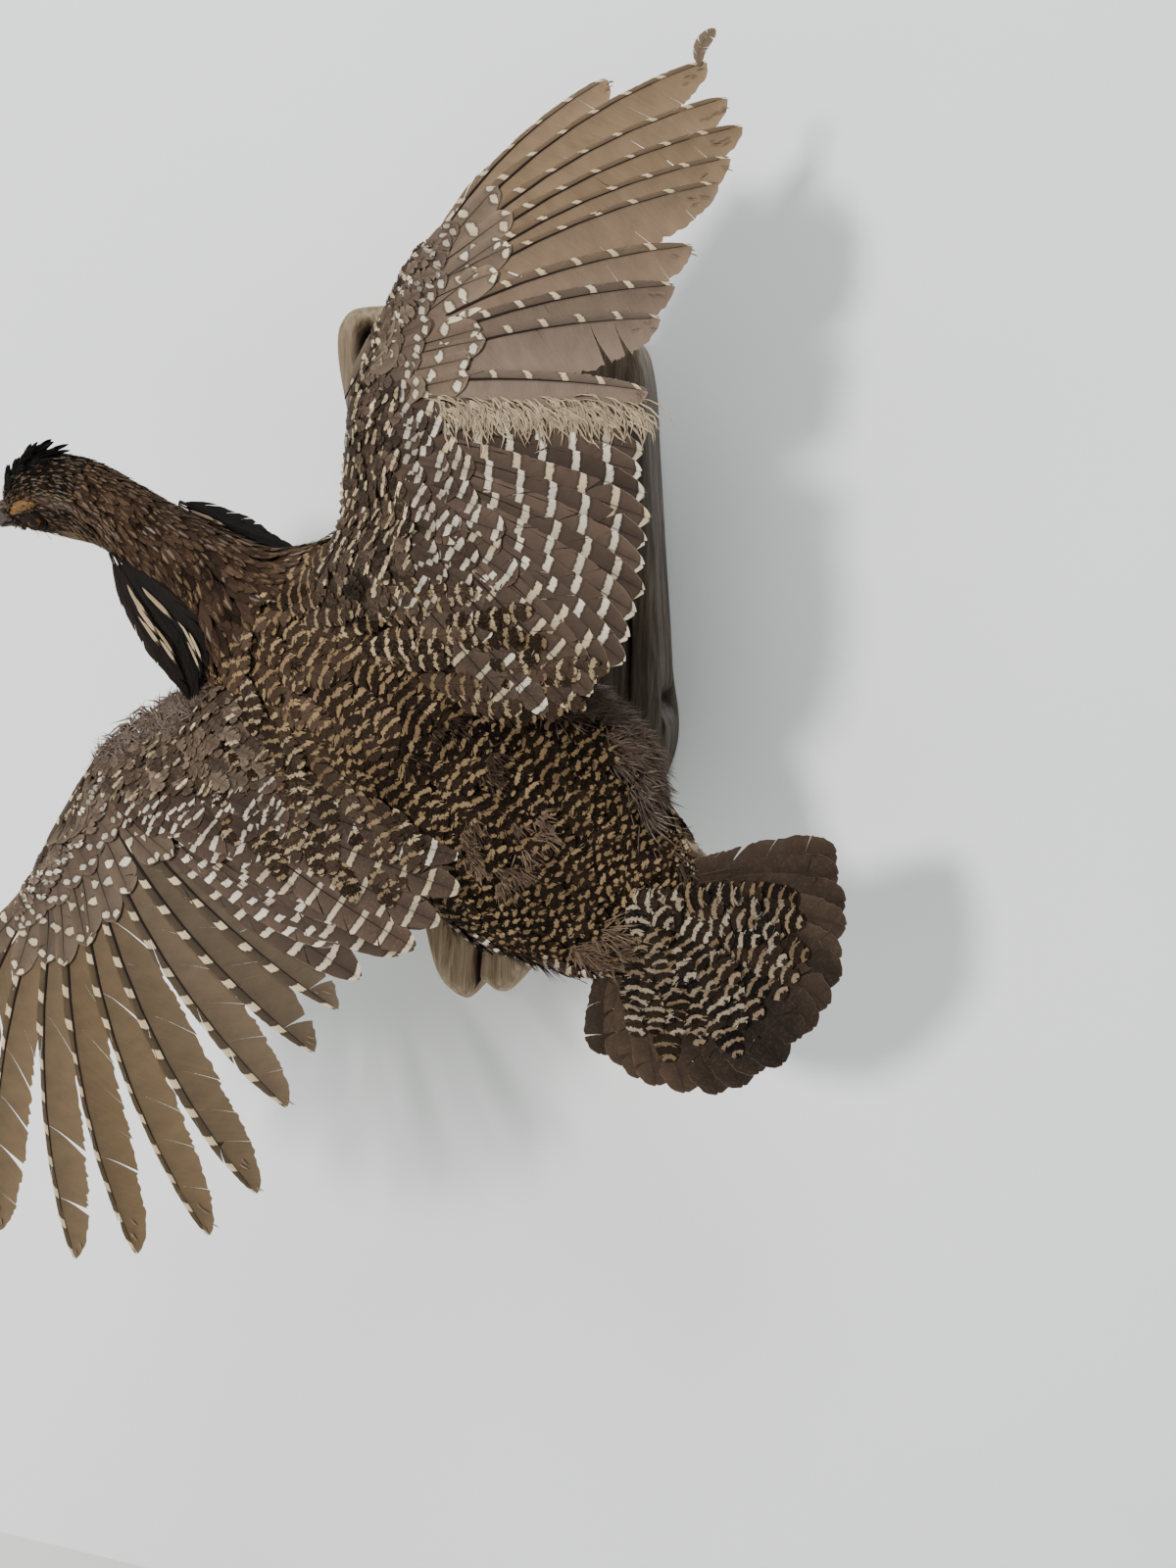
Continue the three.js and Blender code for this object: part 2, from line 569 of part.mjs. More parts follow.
function boardSolid() {
  // how far each layer is set in from the outline, from the wall to the front
  const layers = [[0, 2], [-3, 0], [-(BOARD_DEPTH - BOARD_EDGE_ROUND), 0], [-(BOARD_DEPTH - 4), 2],
    [-(BOARD_DEPTH - 1), 6], [-BOARD_DEPTH, BOARD_EDGE_ROUND]];
  const corners = BOARD_OUTLINE.map(([x, z]) => new THREE.Vector3(x, 0, z));
  const edge = new THREE.CatmullRomCurve3(corners, true).getPoints(BOARD_OUTLINE_STEPS).slice(0, -1);
  const rings = layers.map(([y, inset]) => edge.map(({ x, z }) => {
    const [dx, dz] = [x - BOARD_MIDDLE[0], z - BOARD_MIDDLE[1]];
    const share = 1 - inset / Math.hypot(dx, dz);
    return new THREE.Vector3(BOARD_MIDDLE[0] + dx * share, y, BOARD_MIDDLE[1] + dz * share);
  }));
  return solid(loft(rings));
}

function rodSolid(grow = 0) {
  const length = bellyDepth() - BOARD_DEPTH + 2 * ROD_SOCKET + 2 * grow;
  const geometry = new THREE.CylinderGeometry(ROD_RADIUS + grow, ROD_RADIUS + grow, length, 20);
  geometry.translate(ROD_AT.x, -(BOARD_DEPTH - ROD_SOCKET - grow + length / 2), ROD_AT.z);
  return solid(geometry);
}

// The belly's distance from the wall over the rod.
function bellyDepth() {
  const s = bodySection(5);
  return -s.centre.y - s.belly;
}

// ---------------------------------------------------------------- the model
const body = bodySolid();
const bodyGrown = bodySolid(GAP);
const sockets = [1, -1].map((sign) => ball(eyeCentre(sign), EYE_RADIUS + GAP));
const rod = rodSolid();
const rodGrown = rodSolid(GAP);

add('driftwood_board', boardSolid().subtract(rodGrown), COLOURS.wood, 0.9);
add('mount_rod', rod, COLOURS.steel, 0.4, 0.9);

const neckward = headwardBlock(NECK_BASE_STATION, 0);
const neckwardCut = headwardBlock(NECK_BASE_STATION, -CUT);
const headward = headwardBlock(HEAD_STATION, 0);
const headwardCut = headwardBlock(HEAD_STATION, -CUT);
add('trunk', without(body, [neckwardCut, rodGrown]), COLOURS.plumage);
add('neck', body.intersect(neckward).subtract(headwardCut), COLOURS.plumage);
add('head', without(body.intersect(headward), [billGrown, ...sockets]), COLOURS.plumage);

add('bill_upper', bill.upper, COLOURS.bill, 0.5);
add('bill_lower', without(bill.lower, [billGrown, bodyGrown]), COLOURS.bill, 0.5);
const sides = [['left', 1], ['right', -1]];
for (const [name, sign] of sides) {
  add(`eye_${name}`, ball(eyeCentre(sign), EYE_RADIUS), COLOURS.eye, 0.15);
  const brow = ball(onHead(EYE_AT.forward, sign * 11.8, EYE_AT.up + 7.8), 6.5, [1, 0.4, 0.36]);
  add(`comb_${name}`, without(brow, [bodyGrown, ...sockets]), COLOURS.comb, 0.7);
}
add('crest', crest.subtract(bodyGrown), COLOURS.darkPlumage);

const pinnaeGrown = [PINNA_LEFT, PINNA_RIGHT].map((side) => pinna(side, GAP));
for (const [name, wing] of [['right', WING_RIGHT], ['left', WING_LEFT]]) {
  const pieces = wingPieces(wing);
  for (const part of ['arm', 'forearm', 'hand']) {
    add(`wing_${name}_${part}`, without(pieces[part], [bodyGrown, ...pinnaeGrown]), COLOURS.quill);
  }
}
add('pinna_left', pinna(PINNA_LEFT).subtract(bodyGrown), COLOURS.darkPlumage);
add('pinna_right', pinna(PINNA_RIGHT).subtract(bodyGrown), COLOURS.darkPlumage);

add('tail', tailSolid().subtract(bodyGrown), COLOURS.plumage);
for (const [name, sign] of [['left', -1], ['right', 1]]) {
  const leg = legPieces(sign);
  add(`leg_${name}`, leg.shank.subtract(bodyGrown), COLOURS.plumage);
  add(`foot_${name}`, without(leg.foot, [bodyGrown]), COLOURS.foot);
}

export default group;
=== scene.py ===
"""The looks of a taxidermy greater prairie chicken in flight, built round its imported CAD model.

Lengths are millimetres until a mesh is made. The wall is the plane Y = 0 and the room is on the -Y side.
"""

import math

import bpy
import numpy as np
from mathutils import Matrix


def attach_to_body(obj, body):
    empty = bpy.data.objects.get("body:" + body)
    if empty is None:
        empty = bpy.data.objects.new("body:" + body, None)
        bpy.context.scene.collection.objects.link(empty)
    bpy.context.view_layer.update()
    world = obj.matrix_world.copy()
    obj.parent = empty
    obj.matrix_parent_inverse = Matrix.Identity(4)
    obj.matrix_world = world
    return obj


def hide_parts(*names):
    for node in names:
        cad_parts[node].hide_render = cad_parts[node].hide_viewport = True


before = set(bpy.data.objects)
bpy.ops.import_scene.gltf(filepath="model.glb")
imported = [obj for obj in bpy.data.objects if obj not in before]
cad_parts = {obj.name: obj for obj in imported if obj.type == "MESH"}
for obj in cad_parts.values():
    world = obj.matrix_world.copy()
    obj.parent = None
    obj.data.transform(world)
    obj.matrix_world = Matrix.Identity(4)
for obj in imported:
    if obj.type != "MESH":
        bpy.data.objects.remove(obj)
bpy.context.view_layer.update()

MM = 0.001
rng = np.random.default_rng(20)

# ---------------------------------------------------------------- sizes and places, from the CAD model
# The left wing's tertial tips and the tail's fan and lengths are the feathers' own, a little past the CAD's.
# Trunk, neck and head stations: centre, half width, half heights to the back and belly, roll in degrees.
BODY = np.array([
    [96, -121, -110, 15, 4, 5, 8], [85, -120, -106, 32, 10, 13, 8],
    [64, -118.5, -99, 47, 20, 24, 8], [38, -117, -82, 60, 35, 36, 8],
    [9, -116, -59, 61, 44, 46, 8], [-23, -116, -35, 59, 48, 50, 8],
    [-58, -118, -14, 60, 44, 49, 10], [-85, -122, -2, 52, 34, 42, 14],
    [-103, -128, 10, 34, 27, 31, 22], [-118, -134, 24, 23, 21, 24, 34],
    [-135, -140, 37, 18, 17.5, 20, 44], [-151, -143.5, 48, 15.5, 16.5, 19, 50],
    [-166, -145.5, 55, 15.5, 17, 20.5, 54], [-181, -147, 57, 14.5, 17, 20, 56],
    [-193, -148, 54, 11.5, 14, 15.5, 56], [-201, -149, 51, 7, 8, 9, 56],
    [-204, -149.3, 50, 4, 4.5, 5, 56]])
LAST = len(BODY) - 1
HEAD_CENTRE = np.array([-181, -147, 57.0])
HEAD_FORWARD = np.array([-0.942, -0.09, -0.324])
HEAD_UP = np.array([-0.17, -0.56, 0.81])
EYE_AT = (10, 8, -4)             # forward, to the side, up
EYE_RADIUS = 5
BILL_ROOT = 20
COMB_RISE = 7.6                  # over the eye

WINGS = {
    "right": dict(
        depth=(160.2, 10.4, 1.4, -22.0, -1.9, -12.2), lead=1, bow=0.075,
        bones=((-52, 22), (3, 43), (-40, 96), (-19, 143)),
        primary_tips=((79, 99), (81, 127), (85, 140), (90, 156), (97, 182),
                      (100, 193), (103, 207), (96, 219), (86, 235), (48, 226)),
        secondary_tips=((79, 76), (83, 58), (84, 38), (82, 18), (77, -3), (66, -14)),
        tertial_tips=((64, -17), (57, -22), (47, -25), (36, -26)),
        edge=((-22, 149), (-36, 120), (-44, 98), (-47, 76), (-47, 50), (-56, 30), (-68, 8))),
    "left": dict(
        depth=(126.3, -21.4, -45.1, -12.4, 6.5, -11.2), lead=-1, bow=-0.045,
        bones=((-99, -37), (-84, -82), (-152, -62), (-174, -108)),
        primary_tips=((-35, -150), (-44, -168), (-54, -192), (-67, -231), (-88, -252),
                      (-121, -264), (-151, -271), (-191, -265), (-225, -247), (-246, -214)),
        secondary_tips=((-26, -137), (-12, -128), (-2, -117), (9, -103), (6, -88)),
        tertial_tips=((-5, -124), (4, -114), (11, -101), (9, -87)),
        edge=((-180, -113), (-172, -88), (-158, -56), (-136, -44), (-116, -33), (-104, -20), (-92, -8))),
}
PRIMARIES, SECONDARIES, TERTIALS = 10, 12, 4
LAST_QUILL = PRIMARIES + SECONDARIES + TERTIALS - 1
WRIST_AT = PRIMARIES - 0.5       # between the innermost primary and the outermost secondary
HAND, ARM = (0, WRIST_AT - 0.1), (WRIST_AT + 0.1, LAST_QUILL)
PRIMARY_LEAD, PRIMARY_NOTCHED, PRIMARY_TRAIL = 7, 3, 17
NOTCH_AT = 0.42
ARM_FLESH, ARM_SPREAD, VANE = 6.5, 13, 0.45
# The right wing's outermost tip is bent up in a curl: where the bent end starts and ends.
CURLED_FROM, CURLED_TO, CURLED_LENGTH = (84.0, 231.0), (89.0, 246.5), 16.0

TAIL = dict(hub=(80, -105), root=27, root_angles=(58, -152), tip_angles=(11, -101), fan=(18, -104),
            lengths=(83, 85, 88, 90, 91, 91, 91, 87, 77), count=18,
            depth=121, rise=0.06, droop=0.0011, axis=-38, flesh=9, reach=52)

# Each neck tuft: its path, half widths, how far it bulges, which way it folds, its feathers and its streaks
# with where those start.
PINNAE = {
    "left": dict(path=((-150, -152, 33), (-138, -157, 13), (-126, -157, -4), (-118, -154, -20),
                       (-113, -150, -35)),
                 half=(3, 8, 11, 9, 1.5), bulge=(4.5, 0, 1.5), fold=1,
                 feathers=30, streaks=11, begin=(0.16, 0.56), spread=(-0.7, 0.7)),
    "right": dict(path=((-134, -127, 54), (-120, -122, 51), (-105, -120, 46), (-90, -120, 40),
                        (-76, -121, 34)),
                  half=(2, 6, 8, 7, 1.5), bulge=(-1.5, -1, -5.5), fold=0,
                  feathers=20, streaks=6, begin=(0.02, 0.3), spread=(-0.7, 0.2)),
}

BOARD_DEPTH = 38
BOARD_MIDDLE = np.array([-15.0, -15.0])
BOARD_OUTLINE = np.array([
    [69, -62], [66, -15], [61, 35], [56, 85], [52, 122], [44, 140], [20, 147], [-35, 152], [-84, 154],
    [-99, 149], [-102, 132], [-94, 88], [-84, 20], [-75, -50], [-64, -112], [-54, -160], [-46, -184],
    [-32, -194], [-20, -188], [-8, -187], [8, -167], [38, -124]], float)

# ---------------------------------------------------------------- the view, taken for a 1200 x 1600 frame
CAMERA_AT = (184.4, -637.0, 35.1)
CAMERA_LENS = 29.25
CAMERA_YAW, CAMERA_PITCH, CAMERA_ROLL = 14.2, 10.0, 1.6


def unit(v):
    return v / np.maximum(np.linalg.norm(v, axis=-1, keepdims=True), 1e-9)


def lerp(a, b, t):
    return a + (b - a) * t


def smooth(low, high, x):
    t = np.clip((x - low) / (high - low), 0, 1)
    return t * t * (3 - 2 * t)


def along(points, place):
    """The point at a share of an evenly shared list, by straight lines."""
    points = np.asarray(points, float)
    at = np.clip(place, 0, 1) * (len(points) - 1)
    low = np.minimum(np.floor(at).astype(int), len(points) - 2)
    part = (at - low)[..., None] if points.ndim > 1 else at - low
    return lerp(points[low], points[low + 1], part)


def spline(rows, t):
    """Catmull-Rom through rows, at whole numbers of t."""
    t = np.clip(t, 0, len(rows) - 1)
    i = np.minimum(np.floor(t).astype(int), len(rows) - 2)
    u = (t - i)[..., None]
    p0, p1, p2, p3 = (rows[np.clip(i + k, 0, len(rows) - 1)] for k in (-1, 0, 1, 2))
    return 0.5 * (2 * p1 + (p2 - p0) * u + (2 * p0 - 5 * p1 + 4 * p2 - p3) * u ** 2
                  + (3 * p1 - p0 - 3 * p2 + p3) * u ** 3)


def hashed(cell, seed):
    h = (cell[..., 0] * 374761393 + cell[..., 1] * 668265263 + cell[..., 2] * 1274126177 + seed * 974634777)
    h = (h ^ (h >> 13)) * 1103515245 & 0xFFFFFFFF
    return ((h ^ (h >> 16)) & 0xFFFFFF) / float(0x1000000)


def noise(p, scale, seed=0):
    """Smooth noise from 0 to 1 at points p, with features about scale across."""
    p = np.asarray(p, float) / np.asarray(scale, float)
    cell = np.floor(p).astype(np.int64)
    f = p - cell
    f = f * f * (3 - 2 * f)
    total = 0
    for corner in np.ndindex(2, 2, 2):
        weight = np.prod([f[..., k] if corner[k] else 1 - f[..., k] for k in range(3)], axis=0)
        total = total + weight * hashed(cell + np.array(corner), seed)
    return total


# ---------------------------------------------------------------- the body's skin as a grid
def body_frame(t):
    rows = spline(BODY, t)
    ahead = spline(BODY, np.minimum(t + 0.05, LAST))[..., :3] - spline(BODY, np.maximum(t - 0.05, 0))[..., :3]
    tangent = unit(ahead)
    roll = np.radians(rows[..., 6])
    rolled = np.stack([np.zeros_like(roll), -np.cos(roll), np.sin(roll)], -1)
    dorsal = unit(rolled - tangent * (rolled * tangent).sum(-1, keepdims=True))
    return rows, tangent, dorsal, np.cross(dorsal, tangent)


def body_point(t, angle, inset=0.0):
    """A point of the body: angle 0 is its left side, 90 degrees its back. inset goes in from its surface."""
    rows, _, dorsal, side = body_frame(t)
    up = np.sin(angle)
    height = np.where(up > 0, rows[..., 4], rows[..., 5])
    least = 0.5
    across = np.maximum(rows[..., 3] - inset, least) * np.cos(angle)
    return (rows[..., :3] + side * across[..., None]
            + dorsal * (np.maximum(height - inset, least) * up)[..., None])


GRID_T, GRID_A = 641, 257
grid_t, grid_a = np.meshgrid(np.linspace(0, LAST, GRID_T), np.linspace(0, 2 * np.pi, GRID_A), indexing="ij")
grid_points = body_point(grid_t, grid_a)
grid_dt = np.gradient(grid_points, axis=0) * (GRID_T - 1) / LAST
grid_da = np.gradient(grid_points, axis=1) * (GRID_A - 1) / (2 * np.pi)
grid_da[:, 0] = grid_da[:, -1] = (grid_da[:, 0] + grid_da[:, -1]) / 2
grid_normals = unit(np.cross(grid_dt, grid_da))
grid_normals *= np.sign(((grid_points - spline(BODY, grid_t)[..., :3]) * grid_normals).sum(-1, keepdims=True))


def between_cells(field, u, v):
    """A grid field's value between its points, at u and v in cells."""
    i, j = (np.minimum(w.astype(int), size - 2) for w, size in zip((u, v), field.shape))
    u, v = u - i, v - j
    if field.ndim > 2:
        u, v = u[..., None], v[..., None]
    return lerp(lerp(field[i, j], field[i + 1, j], u), lerp(field[i, j + 1], field[i + 1, j + 1], u), v)


def on_grid(field, t, angle):
    """A field of the body's grid between its points."""
    return between_cells(field, np.clip(t / LAST, 0, 1) * (GRID_T - 1),
                         (angle / (2 * np.pi) % 1) * (GRID_A - 1))


# ---------------------------------------------------------------- spines: the line that each feather follows
STEPS = 9


def finish_spine(points, normals, cross=np.inf):
    tangents = unit(np.gradient(points, axis=1))
    normals = unit(normals - tangents * (normals * tangents).sum(-1, keepdims=True))
    return dict(points=points, normals=normals, across=np.cross(normals, tangents),
                curve=0.5 / np.broadcast_to(np.asarray(cross, float), points.shape[:1]))


def body_spines(t, angle, turn, length):
    """Lines along the body's skin from (t, angle). turn 0 runs to the tail, above 0 to larger angles."""
    t, angle, points, normals = t.copy(), angle.copy(), [], []
    cross = np.linalg.norm(on_grid(grid_da, t, angle), axis=-1)
    for _ in range(STEPS):
        dt, da = on_grid(grid_dt, t, angle), on_grid(grid_da, t, angle)
        points.append(on_grid(grid_points, t, angle) + dt * np.minimum(t, 0)[:, None])
        normals.append(on_grid(grid_normals, t, angle))
        step = length / (STEPS - 1)
        t = t - np.cos(turn) * step / np.linalg.norm(dt, axis=-1)
        angle = angle + np.sin(turn) * step / np.maximum(np.linalg.norm(da, axis=-1), 2)
    return finish_spine(np.stack(points, 1), np.stack(normals, 1), cross)


def field_spines(depth, roots, tips, bow=0.0, side=1, cross=np.inf):
    """Lines over a surface given by its distance from the wall, from roots to tips in the wall's plane."""
    v = np.linspace(0, 1, STEPS)[None, :, None]
    chord = tips - roots
    left = np.stack([-chord[:, 1], chord[:, 0]], -1)
    bow = np.broadcast_to(np.asarray(bow, float), len(roots))[:, None, None]
    flat = roots[:, None] + chord[:, None] * v + left[:, None] * bow * 4 * v * (1 - v)
    x, z = flat[..., 0], flat[..., 1]
    e = 1.0
    dx = (depth(x + e, z) - depth(x - e, z)) / (2 * e)
    dz = (depth(x, z + e) - depth(x, z - e)) / (2 * e)
    points = np.stack([x, -depth(x, z), z], -1)
    normals = unit(np.stack([-dx, -np.ones_like(dx), -dz], -1)) * side
    return finish_spine(points, normals, cross)


def free_spines(points, normals):
    """Lines through the air, from points (n, STEPS, 3)."""
    return finish_spine(points, np.broadcast_to(normals, points.shape).copy())


# ---------------------------------------------------------------- feathers as mesh
def outline(v, rise, point):
    """A vane's half width as a share of its widest, at a share v of its length. A large point is blunt."""
    wide = 0.62
    start = np.clip(v / wide, 1e-6, 1) ** rise
    end = np.clip((v - wide) / (1 - wide), 0, 1)
    return np.minimum(start, 1) * np.clip(1 - end ** point, 0, 1) ** 0.6


def feather_mesh(spine, length, left, right, groups=3, lines=4, stations=2, rise=0.35, point=2.2, root=0.06,
                 sweep=0.16, ragged=0.1, taper=0.1, dense=1.0, split=0.4, split_size=0.03, root_height=-4.0,
                 tip_height=0.0, slope=0.3, camber=0.6, tilt=0.0, relief=0.15, thick=0.2, lift=0.0,
                 notch=None, shaft=0.0):
    """Feathers for all the spines at once. Each vane is a row of groups of barbs that hold together.

    A group is a closed thin sheet with lines of barbs from the shaft to the vane's edge. taper narrows it
    towards its end, dense below 1 crowds the groups to the feather's tip, and split is the share of their
    borders that stand open, by split_size of the length. slope is the share of the rise from the root's
    height to the tip's that is even: the rest comes near the root. notch is (side, share of the length, width
    left beyond it). Every size may be one number or one for each feather. Returns vertices, faces and, for
    each vertex, its feather and where it lies on it.
    """
    n = len(spine["points"])

    def each(value):
        return np.broadcast_to(np.asarray(value, float), n).reshape(n, 1, 1, 1, 1)

    length, left, right = each(length), each(left), each(right)
    side = np.array([1.0, -1.0]).reshape(1, 2, 1, 1, 1)
    border = np.arange(groups + 1) / groups + 0.6 / groups * (rng.random((n, 2, groups + 1)) - 0.5)
    border[..., 0], border[..., -1] = 0, 1
    border = border ** dense
    low, high = border[..., :-1, None, None], border[..., 1:, None, None]
    opened = (rng.random((n, 2, groups + 1)) < split) * rng.random((n, 2, groups + 1))
    opened[..., 0] = opened[..., -1] = 0

    over = [(k, m) for k in range(lines) for m in range(stations + 1)]
    inner = [(k, m) for k in range(1, lines - 1) for m in range(1, stations)]
    line = np.array([k for k, m in over + inner], float)
    mu = (np.array([m for k, m in over + inner]) / stations).reshape(1, 1, 1, 1, -1)
    under = np.array([0.0] * len(over) + [1.0] * len(inner)).reshape(1, 1, 1, 1, -1)
    rim = [k in (0, lines - 1) or m in (0, stations) for k, m in over] + [False] * len(inner)
    barb = low + (high - low) * (line / (lines - 1)).reshape(1, 1, 1, 1, -1)
    barb = lerp(barb, (low + high) / 2, taper * mu ** 3)

    per_line = rng.random((n, 2, groups, 1, lines))[..., line.astype(int)]
    whole = rng.random((n, 2, groups, 1, 1))
    reached = mu * (1 - each(ragged) * (0.75 * per_line + 0.5 * whole))
    edge = sweep + root + (1 - sweep - root) * barb ** 0.85
    stem = root + (0.985 - root) * barb
    s = stem + (edge - stem) * reached ** 1.25
    push = 0.5 * each(split_size) * mu ** 2
    s = s + push * (opened[..., :-1, None, None] * np.exp(-(barb - low) / 0.07)
                    - opened[..., 1:, None, None] * np.exp(-(high - barb) / 0.07))
    width = np.where(side > 0, left, right) * outline(edge, each(rise), each(point))
    if notch is not None:
        cut = smooth(notch[1], notch[1] + 0.1, edge) * (side == notch[0])
        width = lerp(width, np.minimum(width, each(notch[2])), cut)
    a = side * width * reached ** 0.95
    v = np.clip(s, 0, 1.02)
    cross = np.abs(a) / np.maximum(np.maximum(left, right), 1e-6)
    away = np.clip(1 - v, 0, 1)
    fall = each(slope) * away + (1 - each(slope)) * away ** 4
    h = (lerp(each(tip_height), each(root_height), fall) - each(camber) * cross ** 2 + each(tilt) * a
         + each(lift) * v ** 3 + each(relief) * (2 * whole - 1) * mu - thick * under)

    shape = (n, 2, groups, 1, len(over) + len(inner))
    s, a, h = (np.broadcast_to(x, shape).reshape(n, -1) for x in (s, a, h))
    xyz = on_spine(spine, s, a, h)
    fa = np.broadcast_to(side * mu, shape).reshape(n, -1)
    full = length.reshape(n, 1)
    rim_distance = np.minimum((1 - s) * full, (1 - np.abs(fa)) * np.broadcast_to(width, shape).reshape(n, -1)
                              + np.maximum(0.8 - s, 0) * full * 2)
    lie = np.stack([fa, (1 - s) * full, np.broadcast_to(stem, shape).reshape(n, -1) * full], -1)

    per = shape[-1]
    number = {place: k for k, place in enumerate(over)}
    below = number | {place: len(over) + k for k, place in enumerate(inner)}
    cells = [((k, m), (k + 1, m), (k + 1, m + 1), (k, m + 1)) for k in range(lines - 1)
             for m in range(stations)]
    quads = np.array([[number[c] for c in cell] for cell in cells]
                     + [[below[c] for c in cell[::-1]] for cell in cells])
    stamped = (np.arange(n * 2 * groups) * per)[:, None, None] + quads[None]
    flip = np.tile(np.repeat([False, True], groups), n)
    stamped[flip] = stamped[flip][..., ::-1]
    out = dict(xyz=xyz.reshape(-1, 3), quads=stamped.reshape(-1, 4), tris=np.zeros((0, 3), int),
               owner=np.repeat(np.arange(n), 2 * groups * per), lie=lie.reshape(-1, 3),
               rim=rim_distance.reshape(-1), shaft=np.zeros(n * 2 * groups * per),
               border=np.tile(rim, n * 2 * groups))
    if np.any(np.asarray(shaft) > 0):
        radius, low, high, up = (np.broadcast_to(x, n) for x in (shaft, root_height, tip_height, lift))
        out = joined(out, shaft_mesh(spine, length.reshape(n), radius, low, high, up, slope))
    return out


def on_spine(spine, s, a, h):
    """Points at a share s of each spine, a to its left and h above it."""
    at = np.clip(s, 0, 1.03) * (STEPS - 1)
    i = np.clip(at.astype(int), 0, STEPS - 2)
    rows = np.arange(len(s))[:, None]
    part = (at - i)[..., None]
    point, normal, across = (lerp(spine[k][rows, i], spine[k][rows, i + 1], part)
                             for k in ("points", "normals", "across"))
    h = h - a * a * spine["curve"][:, None]
    return point + across * a[..., None] + normal * h[..., None]


SHAFT_SIDES, SHAFT_RINGS = 5, 9


def shaft_mesh(spine, length, radius, root_height, tip_height, lift, slope):
    """A tapered quill along each spine."""
    n = len(length)
    v = np.linspace(0.0, 0.97, SHAFT_RINGS)
    turn = np.arange(SHAFT_SIDES) * 2 * np.pi / SHAFT_SIDES + np.pi / 2
    r = radius[:, None, None] * (1.05 - v[None, :, None] ** 0.8)
    s = np.broadcast_to(v[None, :, None], (n, SHAFT_RINGS, SHAFT_SIDES)).reshape(n, -1)
    a = (r * np.cos(turn)).reshape(n, -1)
    fall = slope * (1 - s) + (1 - slope) * (1 - s) ** 4
    h = (r * 0.8 * np.sin(turn) + 0.1).reshape(n, -1) + lerp(tip_height[:, None], root_height[:, None], fall)
    h = h + lift[:, None] * s ** 3
    xyz = on_spine(spine, s, a, h)
    per = SHAFT_RINGS * SHAFT_SIDES
    j, k = np.meshgrid(np.arange(SHAFT_RINGS - 1), np.arange(SHAFT_SIDES), indexing="ij")
    k2 = (k + 1) % SHAFT_SIDES
    faces = np.stack([j * SHAFT_SIDES + k, j * SHAFT_SIDES + k2, (j + 1) * SHAFT_SIDES + k2,
                      (j + 1) * SHAFT_SIDES + k], -1).reshape(-1, 4)
    fan = [[0, q + 1, q] for q in range(1, SHAFT_SIDES - 1)]
    top = per - SHAFT_SIDES
    fan += [[top, top + q, top + q + 1] for q in range(1, SHAFT_SIDES - 1)]
    base = (np.arange(n) * per)[:, None, None]
    lie = np.stack([np.zeros_like(s), (1 - s) * length[:, None], s * length[:, None]], -1)
    count = n * per
    return dict(xyz=xyz.reshape(-1, 3), quads=(base + faces).reshape(-1, 4)[:, ::-1],
                tris=(base + np.array(fan)).reshape(-1, 3)[:, ::-1], owner=np.repeat(np.arange(n), per),
                lie=lie.reshape(-1, 3), rim=np.full(count, 9.0), shaft=np.ones(count),
                border=np.zeros(count, bool))


def joined(*parts, same_feathers=True):
    """One set of mesh arrays from several. Feathers keep their numbers, or follow on."""
    out, count, feathers = {}, 0, 0
    for part in parts:
        moved = dict(part)
        moved["quads"] = part["quads"] + count
        moved["tris"] = part["tris"] + count
        moved["owner"] = part["owner"] + feathers
        count += len(part["xyz"])
        feathers += 0 if same_feathers else part["owner"].max() + 1
        for key, value in moved.items():
            out.setdefault(key, []).append(value)
    return {key: np.concatenate(value) for key, value in out.items()}


def look(n, ground, mark, period=5.0, duty=0.4, chevron=0.0, rim=0.0, one_vane=0.0, paired=0.0,
         mottle=0.0, offset=0.0, start=0.0, vary=0.12):
    """Each feather's colours and markings. Colours may be one colour or one for each feather.

    start is how far the first bar or spot is from the feather's tip, in mm.
    """
    def colours(value):
        value = np.broadcast_to(np.asarray(value, float), (n, 3)).copy()
        return np.clip(value * (1 + vary * rng.standard_normal((n, 1))), 0.001, 1)

    def each(*values):
        return np.stack([np.broadcast_to(np.asarray(v, float), n) for v in values], -1)

    return dict(ground=np.concatenate([colours(ground), each(mottle)], 1),
                mark=np.concatenate([colours(mark), each(offset)], 1),
                bars=each(period, duty, chevron), form=each(rim, one_vane, paired),
                start=each(start)[:, 0], tuft=rng.random(n))


def mix(a, b, t):
    """Colours between two, one for each number of t."""
    return lerp(np.asarray(a, float), np.asarray(b, float), np.asarray(t)[:, None])


def drawn(a, b, n):
    """n colours drawn between two."""
    return mix(a, b, rng.random(n))


def uneven(n, spread):
    """n factors round 1."""
    return 1 + spread * (rng.random(n) - 0.5)


# ---------------------------------------------------------------- pieces
def link(name, data):
    piece = bpy.data.objects.new(name, data)
    bpy.context.scene.collection.objects.link(piece)
    return piece


def new_object(name, mesh):
    """An object from a mesh in millimetres: its points, then arrays of faces."""
    xyz, *faces = mesh
    mesh = bpy.data.meshes.new(name)
    mesh.vertices.add(len(xyz))
    mesh.vertices.foreach_set("co", (np.asarray(xyz) * MM).astype(np.float32).ravel())
    faces = [np.asarray(f, np.int32) for f in faces if len(f)]
    loops = np.concatenate([f.ravel() for f in faces])
    sizes = np.concatenate([np.full(len(f), f.shape[1]) for f in faces])
    mesh.loops.add(len(loops))
    mesh.loops.foreach_set("vertex_index", loops)
    mesh.polygons.add(len(sizes))
    mesh.polygons.foreach_set("loop_start", np.concatenate([[0], np.cumsum(sizes)[:-1]]).astype(np.int32))
    mesh.update(calc_edges=True)
    mesh.shade_smooth()
    return link(name, mesh)


